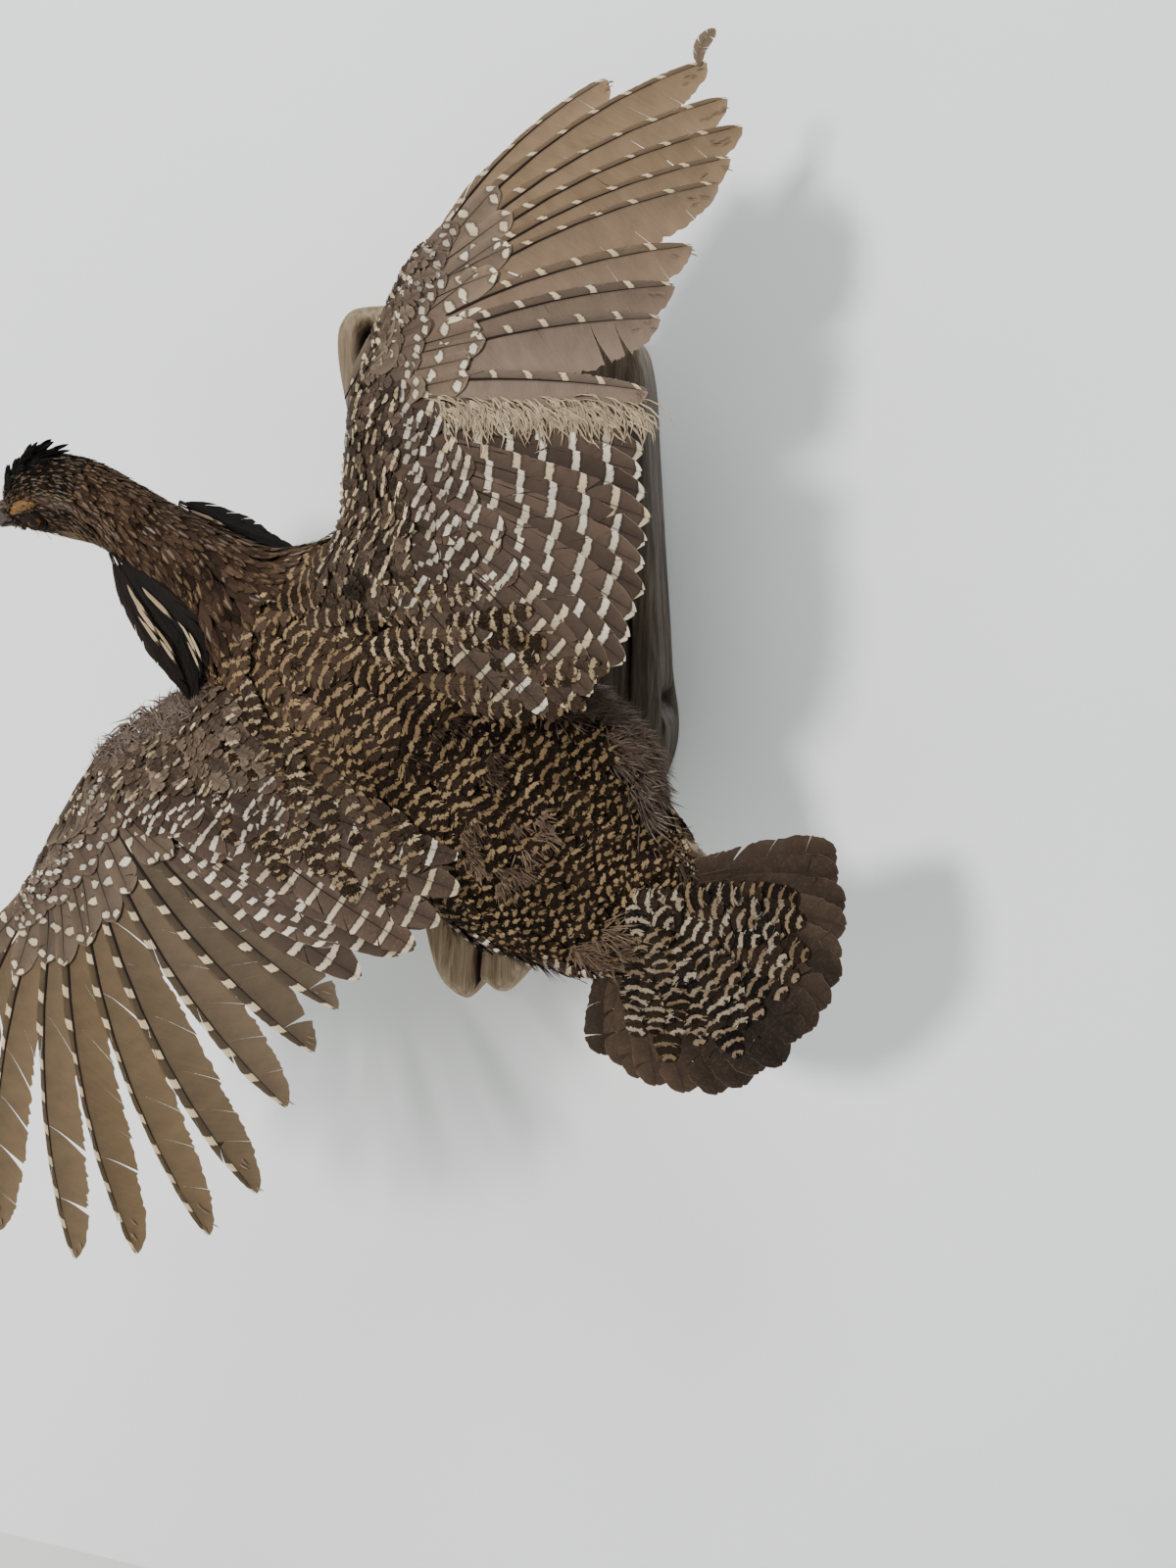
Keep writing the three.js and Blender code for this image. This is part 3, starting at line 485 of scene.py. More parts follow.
def attach(piece, material, replaces=()):
    piece.data.materials.clear()
    piece.data.materials.append(material)
    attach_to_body(piece, "root")
    if replaces:
        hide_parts(*replaces)


def give(mesh, name, kind, values):
    attribute = mesh.attributes.new(name, kind, "POINT")
    key = {"FLOAT": "value", "FLOAT_VECTOR": "vector", "FLOAT_COLOR": "color"}[kind]
    attribute.data.foreach_set(key, np.asarray(values, np.float32).ravel())


def sharpen(mesh, border):
    """Keeps the sheets' upper and under sides apart in the shading, along their borders."""
    ends = np.empty(2 * len(mesh.edges), np.int32)
    mesh.edges.foreach_get("vertices", ends)
    sharp = border[ends.reshape(-1, 2)].all(1)
    mesh.attributes.new("sharp_edge", "BOOLEAN", "EDGE").data.foreach_set("value", sharp)


MOST_TRIANGLES = 180000


class Coat:
    """Feathers gathered into one piece."""

    def __init__(self):
        self.meshes, self.looks, self.places = [], [], []

    def add(self, spine, length, width, looks, kind=(), **shape):
        """Adds a feather on each spine. width is each vane's, or (left, right); kind is a starting shape."""
        left, right = width if isinstance(width, tuple) else (width, width)
        self.meshes.append(feather_mesh(spine, length, left, right, **dict(kind, **shape)))
        self.looks.append(looks)
        self.places.append(spine["points"][:, 0])

    def build(self, name, material, slot, replaces=()):
        """Makes the piece, or several bands of it where it has too many triangles."""
        data = joined(*self.meshes, same_feathers=False)
        looks = {key: np.concatenate([x[key] for x in self.looks]) for key in self.looks[0]}
        roots = np.concatenate(self.places)
        bands = math.ceil((2 * len(data["quads"]) + len(data["tris"])) / MOST_TRIANGLES)
        for band, feathers in enumerate(np.array_split(np.arange(len(roots)), bands)):
            kept = (data["owner"] >= feathers[0]) & (data["owner"] <= feathers[-1])
            number = np.cumsum(kept) - 1
            part = {key: data[key][kept] for key in ("xyz", "owner", "lie", "rim", "shaft", "border")}
            faces = [number[data[key][kept[data[key][:, 0]]]] for key in ("quads", "tris")]
            suffix = f"_{band + 1}" if bands > 1 else ""
            piece = new_object(name + suffix, (part["xyz"], *faces))
            sharpen(piece.data, part["border"])
            owner, mesh = part["owner"], piece.data
            shift = np.outer(looks["start"][owner], [0, 1, 0])
            grain = np.stack([part["rim"], looks["tuft"][owner], part["shaft"]], -1)
            for key, values in (("lie", part["lie"] - shift), ("bars", looks["bars"][owner]),
                                ("form", looks["form"][owner]), ("grain", grain)):
                give(mesh, key, "FLOAT_VECTOR", values)
            for key in ("ground", "mark"):
                give(mesh, key, "FLOAT_COLOR", looks[key][owner])
            part["owner"] = owner - feathers[0]
            self.map(mesh, part, roots[feathers])
            attach(piece, material, replaces if band == 0 else ())

    @staticmethod
    def map(mesh, data, roots):
        """The bake's map: a patch for each feather, in rows from head to tail and from wing to wing."""
        n = len(roots)
        rows = math.ceil(math.sqrt(n))
        by_row = np.argsort(np.argsort(roots[:, 0] - 0.4 * roots[:, 2], kind="stable"), kind="stable") // rows
        order = np.lexsort((roots[:, 2] + 0.4 * roots[:, 0], by_row))
        cell = np.empty(n, int)
        cell[order] = np.arange(n)
        tips = data["lie"][:, 1]
        longest = np.zeros(n)
        np.maximum.at(longest, data["owner"], tips)
        inset = 0.08
        u = inset + (1 - 2 * inset) * (data["lie"][:, 0] + 1) / 2
        v = inset + (1 - 2 * inset) * np.clip(tips / longest[data["owner"]], 0, 1)
        u = (cell[data["owner"]] % rows + u) / rows
        v = (cell[data["owner"]] // rows + v) / rows
        vertex = np.empty(len(mesh.loops), np.int32)
        mesh.loops.foreach_get("vertex_index", vertex)
        layer = mesh.uv_layers.new(name="OFBake")
        layer.data.foreach_set("uv", np.stack([u, v], -1)[vertex].astype(np.float32).ravel())


# ---------------------------------------------------------------- materials
class Wire:
    """A value that runs between a shader's nodes. Sums of wires and numbers make the nodes for them."""

    def __init__(self, shader, socket):
        self.shader, self.socket = shader, socket


for sign, operation in (("add", "ADD"), ("sub", "SUBTRACT"), ("mul", "MULTIPLY"), ("truediv", "DIVIDE")):
    setattr(Wire, f"__{sign}__", lambda a, b, made=operation: a.shader.math(made, a, b))
    setattr(Wire, f"__r{sign}__", lambda a, b, made=operation: a.shader.math(made, b, a))


class Shader:
    """A material and its nodes. Each call adds a node and returns its output as a wire."""

    def __init__(self, name):
        self.material = bpy.data.materials.new(name)
        self.material.use_nodes = True
        self.tree = self.material.node_tree
        self.tree.nodes.clear()
        self.bsdf = self.tree.nodes.new("ShaderNodeBsdfPrincipled")
        self.output = self.tree.nodes.new("ShaderNodeOutputMaterial")
        self.put(self.output.inputs["Surface"], Wire(self, self.bsdf.outputs[0]))

    def put(self, socket, value):
        if isinstance(value, Wire):
            self.tree.links.new(value.socket, socket)
        elif socket.type == "RGBA" and len(value) == 3:
            socket.default_value = (*value, 1)
        else:
            socket.default_value = value

    def node(self, kind, inputs, output=0, **settings):
        """Adds a node. inputs are its values by number or name, and output is the one wanted."""
        made = self.tree.nodes.new("ShaderNode" + kind)
        for key, value in settings.items():
            setattr(made, key, value)
        for key, value in inputs.items():
            self.put(made.inputs[key], value)
        return Wire(self, made.outputs[output])

    def math(self, operation, *values, clamp=False):
        return self.node("Math", dict(enumerate(values)), operation=operation, use_clamp=clamp)

    def step(self, low, high, x):
        """0 below low and 1 above high, with a smooth rise between, or the other way round."""
        turned = not isinstance(low, Wire) and not isinstance(high, Wire) and low > high
        if turned:
            low, high = high, low
        made = self.node("MapRange", {"Value": x, "From Min": low, "From Max": high},
                         interpolation_type="SMOOTHSTEP")
        return 1.0 - made if turned else made

    def mix(self, factor, a, b):
        return self.node("Mix", {0: factor, 6: a, 7: b}, 2, data_type="RGBA")

    def lighter(self, colour, factor):
        """A colour times a number."""
        return self.node("VectorMath", {0: colour, "Scale": factor}, operation="SCALE")

    def attribute(self, name, output="Vector"):
        return self.node("Attribute", {}, output, attribute_name=name)

    def split(self, vector):
        x = self.node("SeparateXYZ", {0: vector})
        return [x] + [Wire(self, x.socket.node.outputs[k]) for k in (1, 2)]

    def place(self, stretch=(1, 1, 1)):
        """The point's own place in the row frame, stretched, in metres."""
        return self.node("VectorMath", {0: self.node("TexCoord", {}, "Object"), 1: stretch},
                         operation="MULTIPLY")

    def noise(self, vector, scale, detail=3.0, rough=0.55, warp=0.0):
        return self.node("TexNoise", {"Vector": vector, "Scale": scale, "Detail": detail, "Roughness": rough,
                                      "Distortion": warp}, "Fac")

    def feather_noise(self, *vector, detail=2.0, rough=0.55):
        """Noise over a feather, from its own coordinates in the noise's cells."""
        return self.noise(self.node("CombineXYZ", dict(enumerate(vector))), 1.0, detail, rough)

    def ramp(self, factor, *stops):
        made = self.node("ValToRGB", {0: factor}, "Color")
        elements = made.socket.node.color_ramp.elements
        while len(elements) < len(stops):
            elements.new(0.5)
        for element, (at, colour) in zip(elements, stops):
            element.position = at
            element.color = (*colour, 1)
        return made

    def bump(self, height, strength, distance):
        made = self.node("Bump", {"Strength": strength, "Distance": distance * MM, "Height": height})
        self.put(self.bsdf.inputs["Normal"], made)

    def finish(self, colour, **sockets):
        """Sets the surface's colour and its other sockets, by name with _ for a space."""
        self.put(self.bsdf.inputs["Base Color"], colour)
        for name, value in sockets.items():
            self.put(self.bsdf.inputs[name.replace("_", " ")], value)
        return self.material


def plumage(name, roughness=0.8, gloss=0.05, shaft=(0.02, 0.012, 0.008), barbs=0.10, blotch=0.22,
            wobble=0.48, fade=0.0):
    """The feathers' surface: bars or spots, a paler rim, mottling, shaft and fine barb lines.

    fade is how much lighter a vane is at its edge than by the shaft.
    """
    barb_pitch = 0.55
    m = Shader(name)
    across, tip, barb = m.split(m.attribute("lie"))
    period, duty, chevron = m.split(m.attribute("bars"))
    rim_width, one_vane, paired = m.split(m.attribute("form"))
    rim, tuft, on_shaft = m.split(m.attribute("grain"))
    ground, mottle = m.attribute("ground", "Color"), m.attribute("ground", "Alpha")
    mark, offset = m.attribute("mark", "Color"), m.attribute("mark", "Alpha")
    width, either_vane = m.math("ABSOLUTE", across), m.math("ABSOLUTE", one_vane)

    seed = tuft * 61.0
    soft = m.feather_noise(across * 1.6, tip * 0.16, seed)
    fine = m.feather_noise(across * 5.0, tip * 0.7, seed)
    strand = m.feather_noise(across * 0.35, barb * 1.25, seed, detail=3.0, rough=0.7) - 0.5
    shaken = (fine - 0.5) * wobble + strand * (0.5 * wobble)
    bent = (tip + chevron * (width * width)) / period
    phase = bent + shaken + offset * m.math("GREATER_THAN", across, 0.0)
    wave = m.math("PINGPONG", phase + 0.5, 0.5) * 2.0
    # The wave runs from 0 to 1, and a bar is where it is near 1. Paired bars are rounded into spots, and
    # paired below 0 makes a streak along the shaft.
    off_middle = (width - 0.5) / 0.38
    rounded = m.math("MAXIMUM", paired, 0.0) * (off_middle * off_middle)
    edge = 1.0 - duty * (1.0 - rounded)
    forward = across * one_vane
    streak = m.math("MAXIMUM", paired * -1.0, 0.0) * m.step(0.28, 0.5, width + shaken * 0.4)
    kept = m.math("SUBTRACT", 1.0, either_vane * m.step(0.12, 0.02, forward) + streak, clamp=True)
    bar = m.step(edge, edge + 0.09, wave) * kept
    dark_edge = m.step(edge - 0.2, edge, wave) * kept * m.step(0.0, 0.05, duty)

    lines = m.math("SINE", barb * (2 * math.pi / barb_pitch))
    tone = (1.0 - blotch) + soft * (2 * blotch) + lines * barbs + strand * (4 * barbs) + (width - 0.45) * fade
    leading = either_vane * m.step(0.0, 0.06, forward)
    colour = m.lighter(ground, tone * (1.0 - leading * 0.4))
    colour = m.mix(dark_edge * 0.55, colour, m.lighter(ground, 0.4))
    speckle = m.step(0.52, 0.62, fine) * mottle
    colour = m.mix(m.math("MAXIMUM", bar, speckle), colour, m.lighter(mark, tone))
    pale = (1.0 - m.step(rim_width - 0.35, rim_width, rim)) * m.step(0.0, 0.2, rim_width)
    colour = m.mix(pale, colour, mark)
    colour = m.mix(m.step(0.07, 0.03, width) * 0.35, colour, m.lighter(ground, 0.35))
    m.bump(lines, 0.3, 0.08)
    return m.finish(m.mix(on_shaft, colour, shaft), Roughness=roughness, Specular_IOR_Level=gloss)


# ---------------------------------------------------------------- feather colours
BLACK = (0.004, 0.0035, 0.003)
BLACK_BROWN = (0.010, 0.006, 0.0035)
DARK_BROWN = (0.027, 0.016, 0.010)
BROWN = (0.062, 0.040, 0.028)
GREY_BROWN = (0.112, 0.079, 0.056)
LIGHT_BROWN = (0.134, 0.092, 0.056)
GOLDEN_BROWN = (0.160, 0.102, 0.052)
RUFOUS = (0.050, 0.029, 0.019)
BUFF = (0.240, 0.165, 0.088)
DARK_BUFF = (0.115, 0.074, 0.038)
CREAM = (0.440, 0.345, 0.215)
WHITE = (0.540, 0.490, 0.400)
GREY_FEATHER = (0.125, 0.103, 0.086)

# ---------------------------------------------------------------- shapes that several kinds of feather share
HAIR = dict(groups=1, ragged=0, taper=0, split=0, camber=0, relief=0, point=1.3)
SHAGGY = dict(groups=5, dense=0.7, ragged=0.2, taper=0.3, split_size=0.05)
PLAIN = dict(duty=0.0)           # a look without bars
SPECKED = dict(paired=-0.95, vary=0.2)


# ---------------------------------------------------------------- where the body's feathers grow
def body_rows(t_range, row, column):
    """Roots in staggered rows on the body: row and column give their spacing at a station, in mm."""
    t, k, found = t_range[0], 0, []
    full_turn, jitter = 2 * np.pi, 0.3
    sample = np.linspace(0, full_turn, 24)
    while t < t_range[1]:
        here = np.full_like(sample, t)
        around = np.linalg.norm(on_grid(grid_da, here, sample), axis=-1).mean()
        ahead = np.linalg.norm(on_grid(grid_dt, here, sample), axis=-1).mean()
        count = max(4, int(around * full_turn / column(t)))
        step = full_turn / count
        ring = (np.arange(count) + 0.5 * (k % 2)) * step
        ring = ring + step * jitter * (rng.random(count) - 0.5)
        found.append(np.stack([t + row(t) / ahead * jitter * 1.5 * (rng.random(count) - 0.5), ring], -1))
        t += row(t) / ahead
        k += 1
    return np.concatenate(found).T


def table(*pairs):
    """A size that changes along the body, from (station, size) pairs."""
    stations, sizes = zip(*pairs)
    return lambda t: np.interp(t, stations, sizes)


def splay(t, angle, most):
    """How far the back's feathers turn out from the spine towards the wings."""
    out = np.clip(angle - np.pi / 2, -np.pi / 2, np.pi / 2)
    return most * out * np.clip(np.sin(angle), 0, 1) * smooth(0.2, 2.0, t) * smooth(9.0, 7.5, t)


def trunk_feathers():
    coat = Coat()
    length_at = table((0, 27), (2, 25), (4, 27), (5.6, 33), (7.2, 28), (8.4, 18))
    t, angle = body_rows((0.35, 8.5), table((0, 6.0), (3.5, 6.6), (5.5, 8.2), (7.4, 7.6), (8.5, 5.6)),
                         table((0, 6.4), (3.5, 6.8), (5.5, 7.8), (7.4, 7.2), (8.5, 5.4)))
    n = len(t)
    back = np.sin(angle)
    length = length_at(t) * uneven(n, 0.12) * np.where(back < -0.3, 1.1, 1.0)
    spine = body_spines(t, angle, splay(t, angle, 0.55) + 0.2 * rng.standard_normal(n), length)

    mantle, rump = smooth(5.2, 7.2, t), smooth(4.2, 2.6, t)
    patch = 0.55 + 0.9 * noise(spine["points"][:, 4], 14, 11)
    dark = mix(BLACK_BROWN, DARK_BROWN, rng.random(n) ** 1.5) * 0.55
    ground = dark * (1 - mantle[:, None]) + mix(DARK_BROWN, BROWN, 0.8 * rng.random(n)) * mantle[:, None]
    ground = ground * patch[:, None]
    mark = mix(DARK_BUFF, BUFF, 0.85 * rng.random(n)) * (1 + 0.2 * mantle[:, None])
    under = smooth(0.05, -0.35, back)
    ground = lerp(ground, drawn(BUFF, CREAM, n), under[:, None])
    mark = lerp(mark, drawn(BROWN, DARK_BROWN, n), under[:, None])
    looks = look(n, ground, mark,
                 period=lerp(lerp(5.6, 6.4, mantle), 7.5, under) * rng.uniform(0.85, 1.15, n),
                 duty=lerp(0.40, 0.48, under), chevron=1.0, paired=lerp(0.15, 0.28, rump) * (1 - under),
                 offset=(0.35 * rump + 0.25 * rng.random(n)) * (1 - under), mottle=0.06 * (1 - under),
                 start=1.5 * rng.random(n))
    lift = np.where(rng.random(n) < 0.12, 3.0, 0.4) * rng.random(n)
    coat.add(spine, length, length * 0.225, looks, SHAGGY, root_height=-6.5, tip_height=-0.3, slope=0.2,
             lift=lift, tilt=0.1 * (rng.random(n) - 0.5), split=0.5, sweep=0.24, camber=0.5, relief=0.12,
             thick=0.12, point=2.5)
    return coat


def neck_feathers():
    """Narrow pointed feathers, rufous black with pale specks, and grey streaks under the head."""
    coat = Coat()
    row, column = table((8.2, 4.0), (10, 2.8), (12.4, 2.2)), table((8.2, 3.6), (10, 2.5), (12.4, 1.9))
    t, angle = body_rows((8.3, 12.5), row, column)
    n = len(t)
    back = np.sin(angle)
    length = table((8.2, 18), (10, 13), (12.4, 9))(t) * uneven(n, 0.2)
    spine = body_spines(t, angle, splay(t, angle, 0.3) + 0.14 * rng.standard_normal(n), length)
    patch = 0.6 + 0.9 * noise(spine["points"][:, 4], 9, 12)
    ground = mix(BLACK_BROWN, RUFOUS, rng.random(n) ** 0.7) * patch[:, None]
    mark = mix(DARK_BUFF, BUFF, 0.35 * rng.random(n)) * 0.85
    throat = smooth(-0.35, -0.75, back)
    ground = lerp(ground, drawn(DARK_BUFF, BUFF, n), throat[:, None])
    mark = lerp(mark, drawn(BROWN, DARK_BROWN, n), throat[:, None])
    grey = rng.random(n) < 0.2 + 0.6 * smooth(10.2, 11.6, t) * smooth(0.9, 0.4, back)
    mark = np.where(grey[:, None], drawn(GREY_FEATHER, DARK_BUFF, n), mark)
    looks = look(n, ground, mark, period=2 * length, start=length * rng.uniform(0.08, 0.3, n),
                 duty=np.where(grey, rng.uniform(0.2, 0.5, n), rng.uniform(-0.05, 0.25, n)), **SPECKED)
    coat.add(spine, length, length * 0.135, looks, groups=2, dense=0.8, root_height=-3.6, slope=0.2,
             lift=0.35 * rng.random(n), tilt=0.08 * (rng.random(n) - 0.5), ragged=0.15, taper=0.12, sweep=0.3,
             camber=0.2, thick=0.09, relief=0.05, point=1.6)
    return coat


def head_axes():
    up = unit(HEAD_UP - HEAD_FORWARD * (HEAD_UP @ HEAD_FORWARD) / (HEAD_FORWARD @ HEAD_FORWARD))
    forward = unit(HEAD_FORWARD)
    return forward, np.cross(up, forward), up


def on_head(forward, left, up):
    """Points from the head's centre, in mm forward, left and up."""
    axes = head_axes()
    return HEAD_CENTRE + sum(np.asarray(v, float)[..., None] * axis for v,
                             axis in zip((forward, left, up), axes))


def in_head(points):
    """Points as mm forward, left and up from the head's centre."""
    return np.stack([(points - HEAD_CENTRE) @ axis for axis in head_axes()], -1)


def from_eye(where):
    """How far points of the head are from the middle of an eye, seen from the side."""
    return np.hypot(where[..., 0] - EYE_AT[0], where[..., 2] - EYE_AT[2])


def head_feathers():
    """Fine feathers: a black crown with buff specks, a grey streak over a dark ear band, a pale throat."""
    coat = Coat()
    spacing = table((12.4, 1.6), (14, 1.25), (15.9, 0.95))
    t, angle = body_rows((12.45, 15.95), spacing, spacing)
    where = in_head(on_grid(grid_points, t, angle))
    eye = from_eye(where)
    on_comb = np.hypot((where[:, 0] - EYE_AT[0]) / 1.25, (where[:, 2] - EYE_AT[2] - COMB_RISE) / 0.42) < 4.4
    bare = (np.abs(where[:, 1]) > 5) & ((eye < EYE_RADIUS - 0.9) | on_comb)
    keep = ~bare & (where[:, 0] < BILL_ROOT + 2.5)
    t, angle, where, eye = t[keep], angle[keep], where[keep], eye[keep]
    n = len(t)
    size = table((12.4, 10), (13.2, 8.0), (14, 6.4), (15.9, 4.2))(t) * uneven(n, 0.3)
    size = size * lerp(0.55, 1.0, smooth(4.0, 9.0, eye))
    spine = body_spines(t, angle, 0.16 * rng.standard_normal(n), size)
    forward, up = where[:, 0], where[:, 2]
    crown = smooth(3.5, 7.5, up - 0.15 * forward)
    streak = np.exp(-((up - 0.27 * forward - 4.4) / 2.3) ** 2) * smooth(6, 1, forward)
    ear = np.exp(-((up - 0.2 * forward + 0.8) / 2.2) ** 2) * smooth(6, 2, forward)
    throat = smooth(-8.5, -12.5, up)
    ground = drawn(BLACK_BROWN, RUFOUS, n)
    ground = lerp(ground, drawn(BLACK, BLACK_BROWN, n), np.maximum(crown, 0.85 * ear)[:, None])
    ground = lerp(ground, drawn(GREY_BROWN, GREY_FEATHER, n), (0.45 * streak)[:, None])
    ground = ground * (0.45 + 1.1 * noise(spine["points"][:, 2], 4.5, 13))[:, None]
    ground = lerp(ground, drawn(DARK_BUFF, BUFF, n), throat[:, None])
    mark = mix(DARK_BUFF, BUFF, 0.4 * rng.random(n))
    lined = rng.random(n) < 0.25 + 0.5 * streak + 0.3 * throat
    mark = np.where(lined[:, None], mix(GREY_FEATHER, BROWN, 0.5 * rng.random(n) + 0.5 * throat), mark)
    marked = rng.random(n) < 0.62 - 0.4 * ear
    looks = look(n, ground, mark, period=2 * size, start=size * rng.uniform(0.08, 0.25, n),
                 duty=np.where(lined, rng.uniform(0.2, 0.55, n), marked * rng.uniform(0.08, 0.2, n)),
                 **SPECKED)
    coat.add(spine, size, size * 0.115, looks, HAIR, lines=6, root_height=-1.5, tip_height=0.2, slope=0.25,
             lift=0.3 * rng.random(n), ragged=0.1, sweep=0.3, camber=0.12, thick=0.06, point=1.6)
    return coat


def chin_bristles(coat):
    """Dark hair-like feathers that hang from the chin and stand round the bill's root."""
    count = 420
    t = rng.uniform(13.3, 15.95, count)
    angle = np.radians(-90 + rng.uniform(-105, 105, count))
    root, normal = on_grid(grid_points, t, angle), on_grid(grid_normals, t, angle)
    far = from_eye(in_head(root)) > 5.6
    root, normal, t = root[far], normal[far], t[far]
    count = len(root)
    ahead = head_axes()[0]
    direction = unit(-ahead + normal * rng.uniform(0.2, 0.9, (count, 1)) + 0.2
                     * rng.standard_normal((count, 3)))
    size = lerp(7.5, 4.5, smooth(14.0, 15.9, t)) * rng.uniform(0.6, 1.25, count)
    spine = strand_spines(root, direction, normal, size, rng.uniform(-0.4, 0.1, count))
    looks = look(count, mix(BLACK, BROWN, rng.random(count) ** 2), DARK_BUFF, vary=0.3, **PLAIN)
    coat.add(spine, size, 0.3, looks, HAIR, root_height=0, thick=0.06)


def nasal_feathers(coat):
    """Small forward-pointing feathers over the nostrils and the bill's root."""
    count = 190
    sign = np.where(rng.random(count) < 0.5, 1, -1)
    forward, up = rng.uniform(14.5, 20.5, count), rng.uniform(-7.0, 5.0, count)
    ahead, left, top = head_axes()
    side = 5.6 - 0.045 * (up + 1.5) ** 2 - 0.16 * (forward - 16)
    direction = unit(ahead - (left * sign[:, None]) * 0.12 + top * rng.normal(-0.12, 0.22, (count, 1)))
    size = rng.uniform(3.5, 6.5, count)
    spine = strand_spines(on_head(forward, sign * side, up), direction, left * sign[:, None], size,
                          rng.uniform(-0.15, 0.05, count))
    ground = drawn(BLACK_BROWN, BROWN, count)
    looks = look(count, ground, GREY_FEATHER, period=2 * size, duty=0.3 * (rng.random(count) < 0.4),
                 paired=-0.95, start=1.0, vary=0.25)
    coat.add(spine, size, 0.5, looks, HAIR, lines=5, root_height=-0.4, tip_height=0.25, thick=0.06, point=1.4)


def strand_spines(roots, ahead, out, size, bend):
    """Lines from roots that run ahead and bend outwards, or the other way where bend is negative."""
    v = np.linspace(0, 1, STEPS)[None, :, None]
    size, bend = (np.asarray(x, float).reshape(-1, 1, 1) for x in (size, bend))
    ahead, out = np.atleast_2d(ahead)[:, None], np.atleast_2d(out)[:, None]
    return free_spines(roots[:, None] + size * (ahead * v + out * bend * v * v), out)


def crest_feathers():
    """The raised black feathers of the crown, and the bristles of the chin and lores."""
    coat = Coat()
    chin_bristles(coat)
    nasal_feathers(coat)
    count = 110
    place = np.linspace(0, 1, count) + 0.02 * rng.standard_normal(count)
    inside = np.clip(place, 0, 1)
    across = 3.2 * rng.standard_normal(count) * (0.5 + 0.5 * np.sin(np.pi * inside))
    root = on_head(lerp(18.5, 1.0, place), across, lerp(4.5, 12.5, np.clip(place * 1.7, 0, 1)))
    length = lerp(12, 16, place) * uneven(count, 0.25)
    rise = np.radians(lerp(88, 34, place ** 0.8) + 6 * rng.standard_normal(count))
    v = np.linspace(0, 1, STEPS)[None, :]
    ahead, left, up = head_axes()
    turn = rise[:, None] - 0.75 * v                 # the tips fall back along the head
    step = length[:, None] / (STEPS - 1)
    back, high = (np.cumsum(f(turn) * step, 1) - f(turn[:, :1]) * step for f in (np.cos, np.sin))
    lean = (0.12 * rng.standard_normal(count) + 0.03 * across)[:, None] * length[:, None] * v
    points = (root[:, None] - ahead * back[..., None] + up * high[..., None] + left * lean[..., None])
    spine = free_spines(points, left * np.sign(rng.random((count, 1, 1)) - 0.3))
    looks = look(count, BLACK, DARK_BROWN, vary=0.3, **PLAIN)
    coat.add(spine, length, 1.1, looks, groups=2, lines=6, root_height=0.0, ragged=0.12, taper=0.05,
             split=0.3, split_size=0.02, camber=0.2, thick=0.08, point=1.5, sweep=0.25)
    return coat


def pinna_feathers():
    """The long neck tufts: narrow stiff feathers, black with a few cream streaks."""
    coat = Coat()
    v = np.linspace(0, 1, STEPS)
    facing = unit(np.array([0.3, -1.0, 0.2]))
    for tuft in PINNAE.values():
        path, fold = np.array(tuft["path"], float), tuft["fold"]
        lateral = np.cross(facing, unit(np.gradient(along(path, v), axis=0)))
        half = np.interp(v, np.linspace(0, 1, len(tuft["half"])), tuft["half"])

        def spines(at, spread, drift, depth, unruly):
            """Lines along the tuft, and their lengths. depth is a share of its half width and a rise."""
            wide = np.interp(at, v, half)
            aside = np.stack([np.interp(at, v, lateral[:, k]) for k in range(3)], -1)
            points = along(path, at) + aside * (wide * drift * 0.86)[..., None]
            points = points + facing * (depth[0] * wide + depth[1])[..., None]
            inward = np.sin(np.pi * np.clip(at, 0, 1)) * (1 + 0.9 * np.clip(spread * fold, 0, 1))
            points = points + np.array(tuft["bulge"]) * inward[..., None]
            length = np.linalg.norm(np.diff(points, axis=1), axis=-1).sum(1)
            return free_spines(points, facing + unruly * rng.standard_normal((len(at), 1, 3))), length

        count = tuft["feathers"]
        spread = (np.linspace(-1, 1, count) + 0.08 * rng.standard_normal(count))[:, None]
        rank = rng.random(count)[:, None]
        reach = lerp(0.72, 1.0, 1 - spread ** 2) * lerp(0.85, 1.0, rng.random(count))[:, None]
        spine, length = spines(v * reach, spread, spread, ((rank - 0.5) * 0.36 * 1.2, 0), 0.15)
        ground = mix(BLACK, RUFOUS if fold else BLACK_BROWN, 0.35 * rng.random(count) ** 2)
        coat.add(spine, length, 3.1, look(count, ground, CREAM, vary=0.15, **PLAIN), groups=5, lines=6,
                 root_height=0, ragged=0.16, rise=0.15, taper=0.15, sweep=0.2, split=0.5, camber=0.5,
                 point=1.9, shaft=0.2)
        count = tuft["streaks"]
        begin = np.linspace(*tuft["begin"], count)
        end = begin + rng.uniform(0.16, 0.26, count)
        spread = rng.uniform(*tuft["spread"], count)[:, None]
        spine, length = spines(lerp(begin[:, None], end[:, None], v), spread, spread + 0.15 * v, (0.27, 0.6),
                               0.1)
        looks = look(count, drawn(BUFF, CREAM, count), BROWN, rim=0.5, vary=0.1, **PLAIN)
        coat.add(spine, length, rng.uniform(0.5, 1.0, count), looks, groups=2, lines=6, root_height=-0.8,
                 tip_height=0.2, taper=0.02, sweep=0.2, split=0.2, camber=0.2, thick=0.12, point=1.4)
    return coat


# ---------------------------------------------------------------- wings
def wing_depth(wing):
    c = wing["depth"]

    def depth(x, z):
        x, z = x / 100, z / 100
        return c[0] + c[1] * x + c[2] * z + c[3] * x * x + c[4] * x * z + c[5] * z * z
    return depth


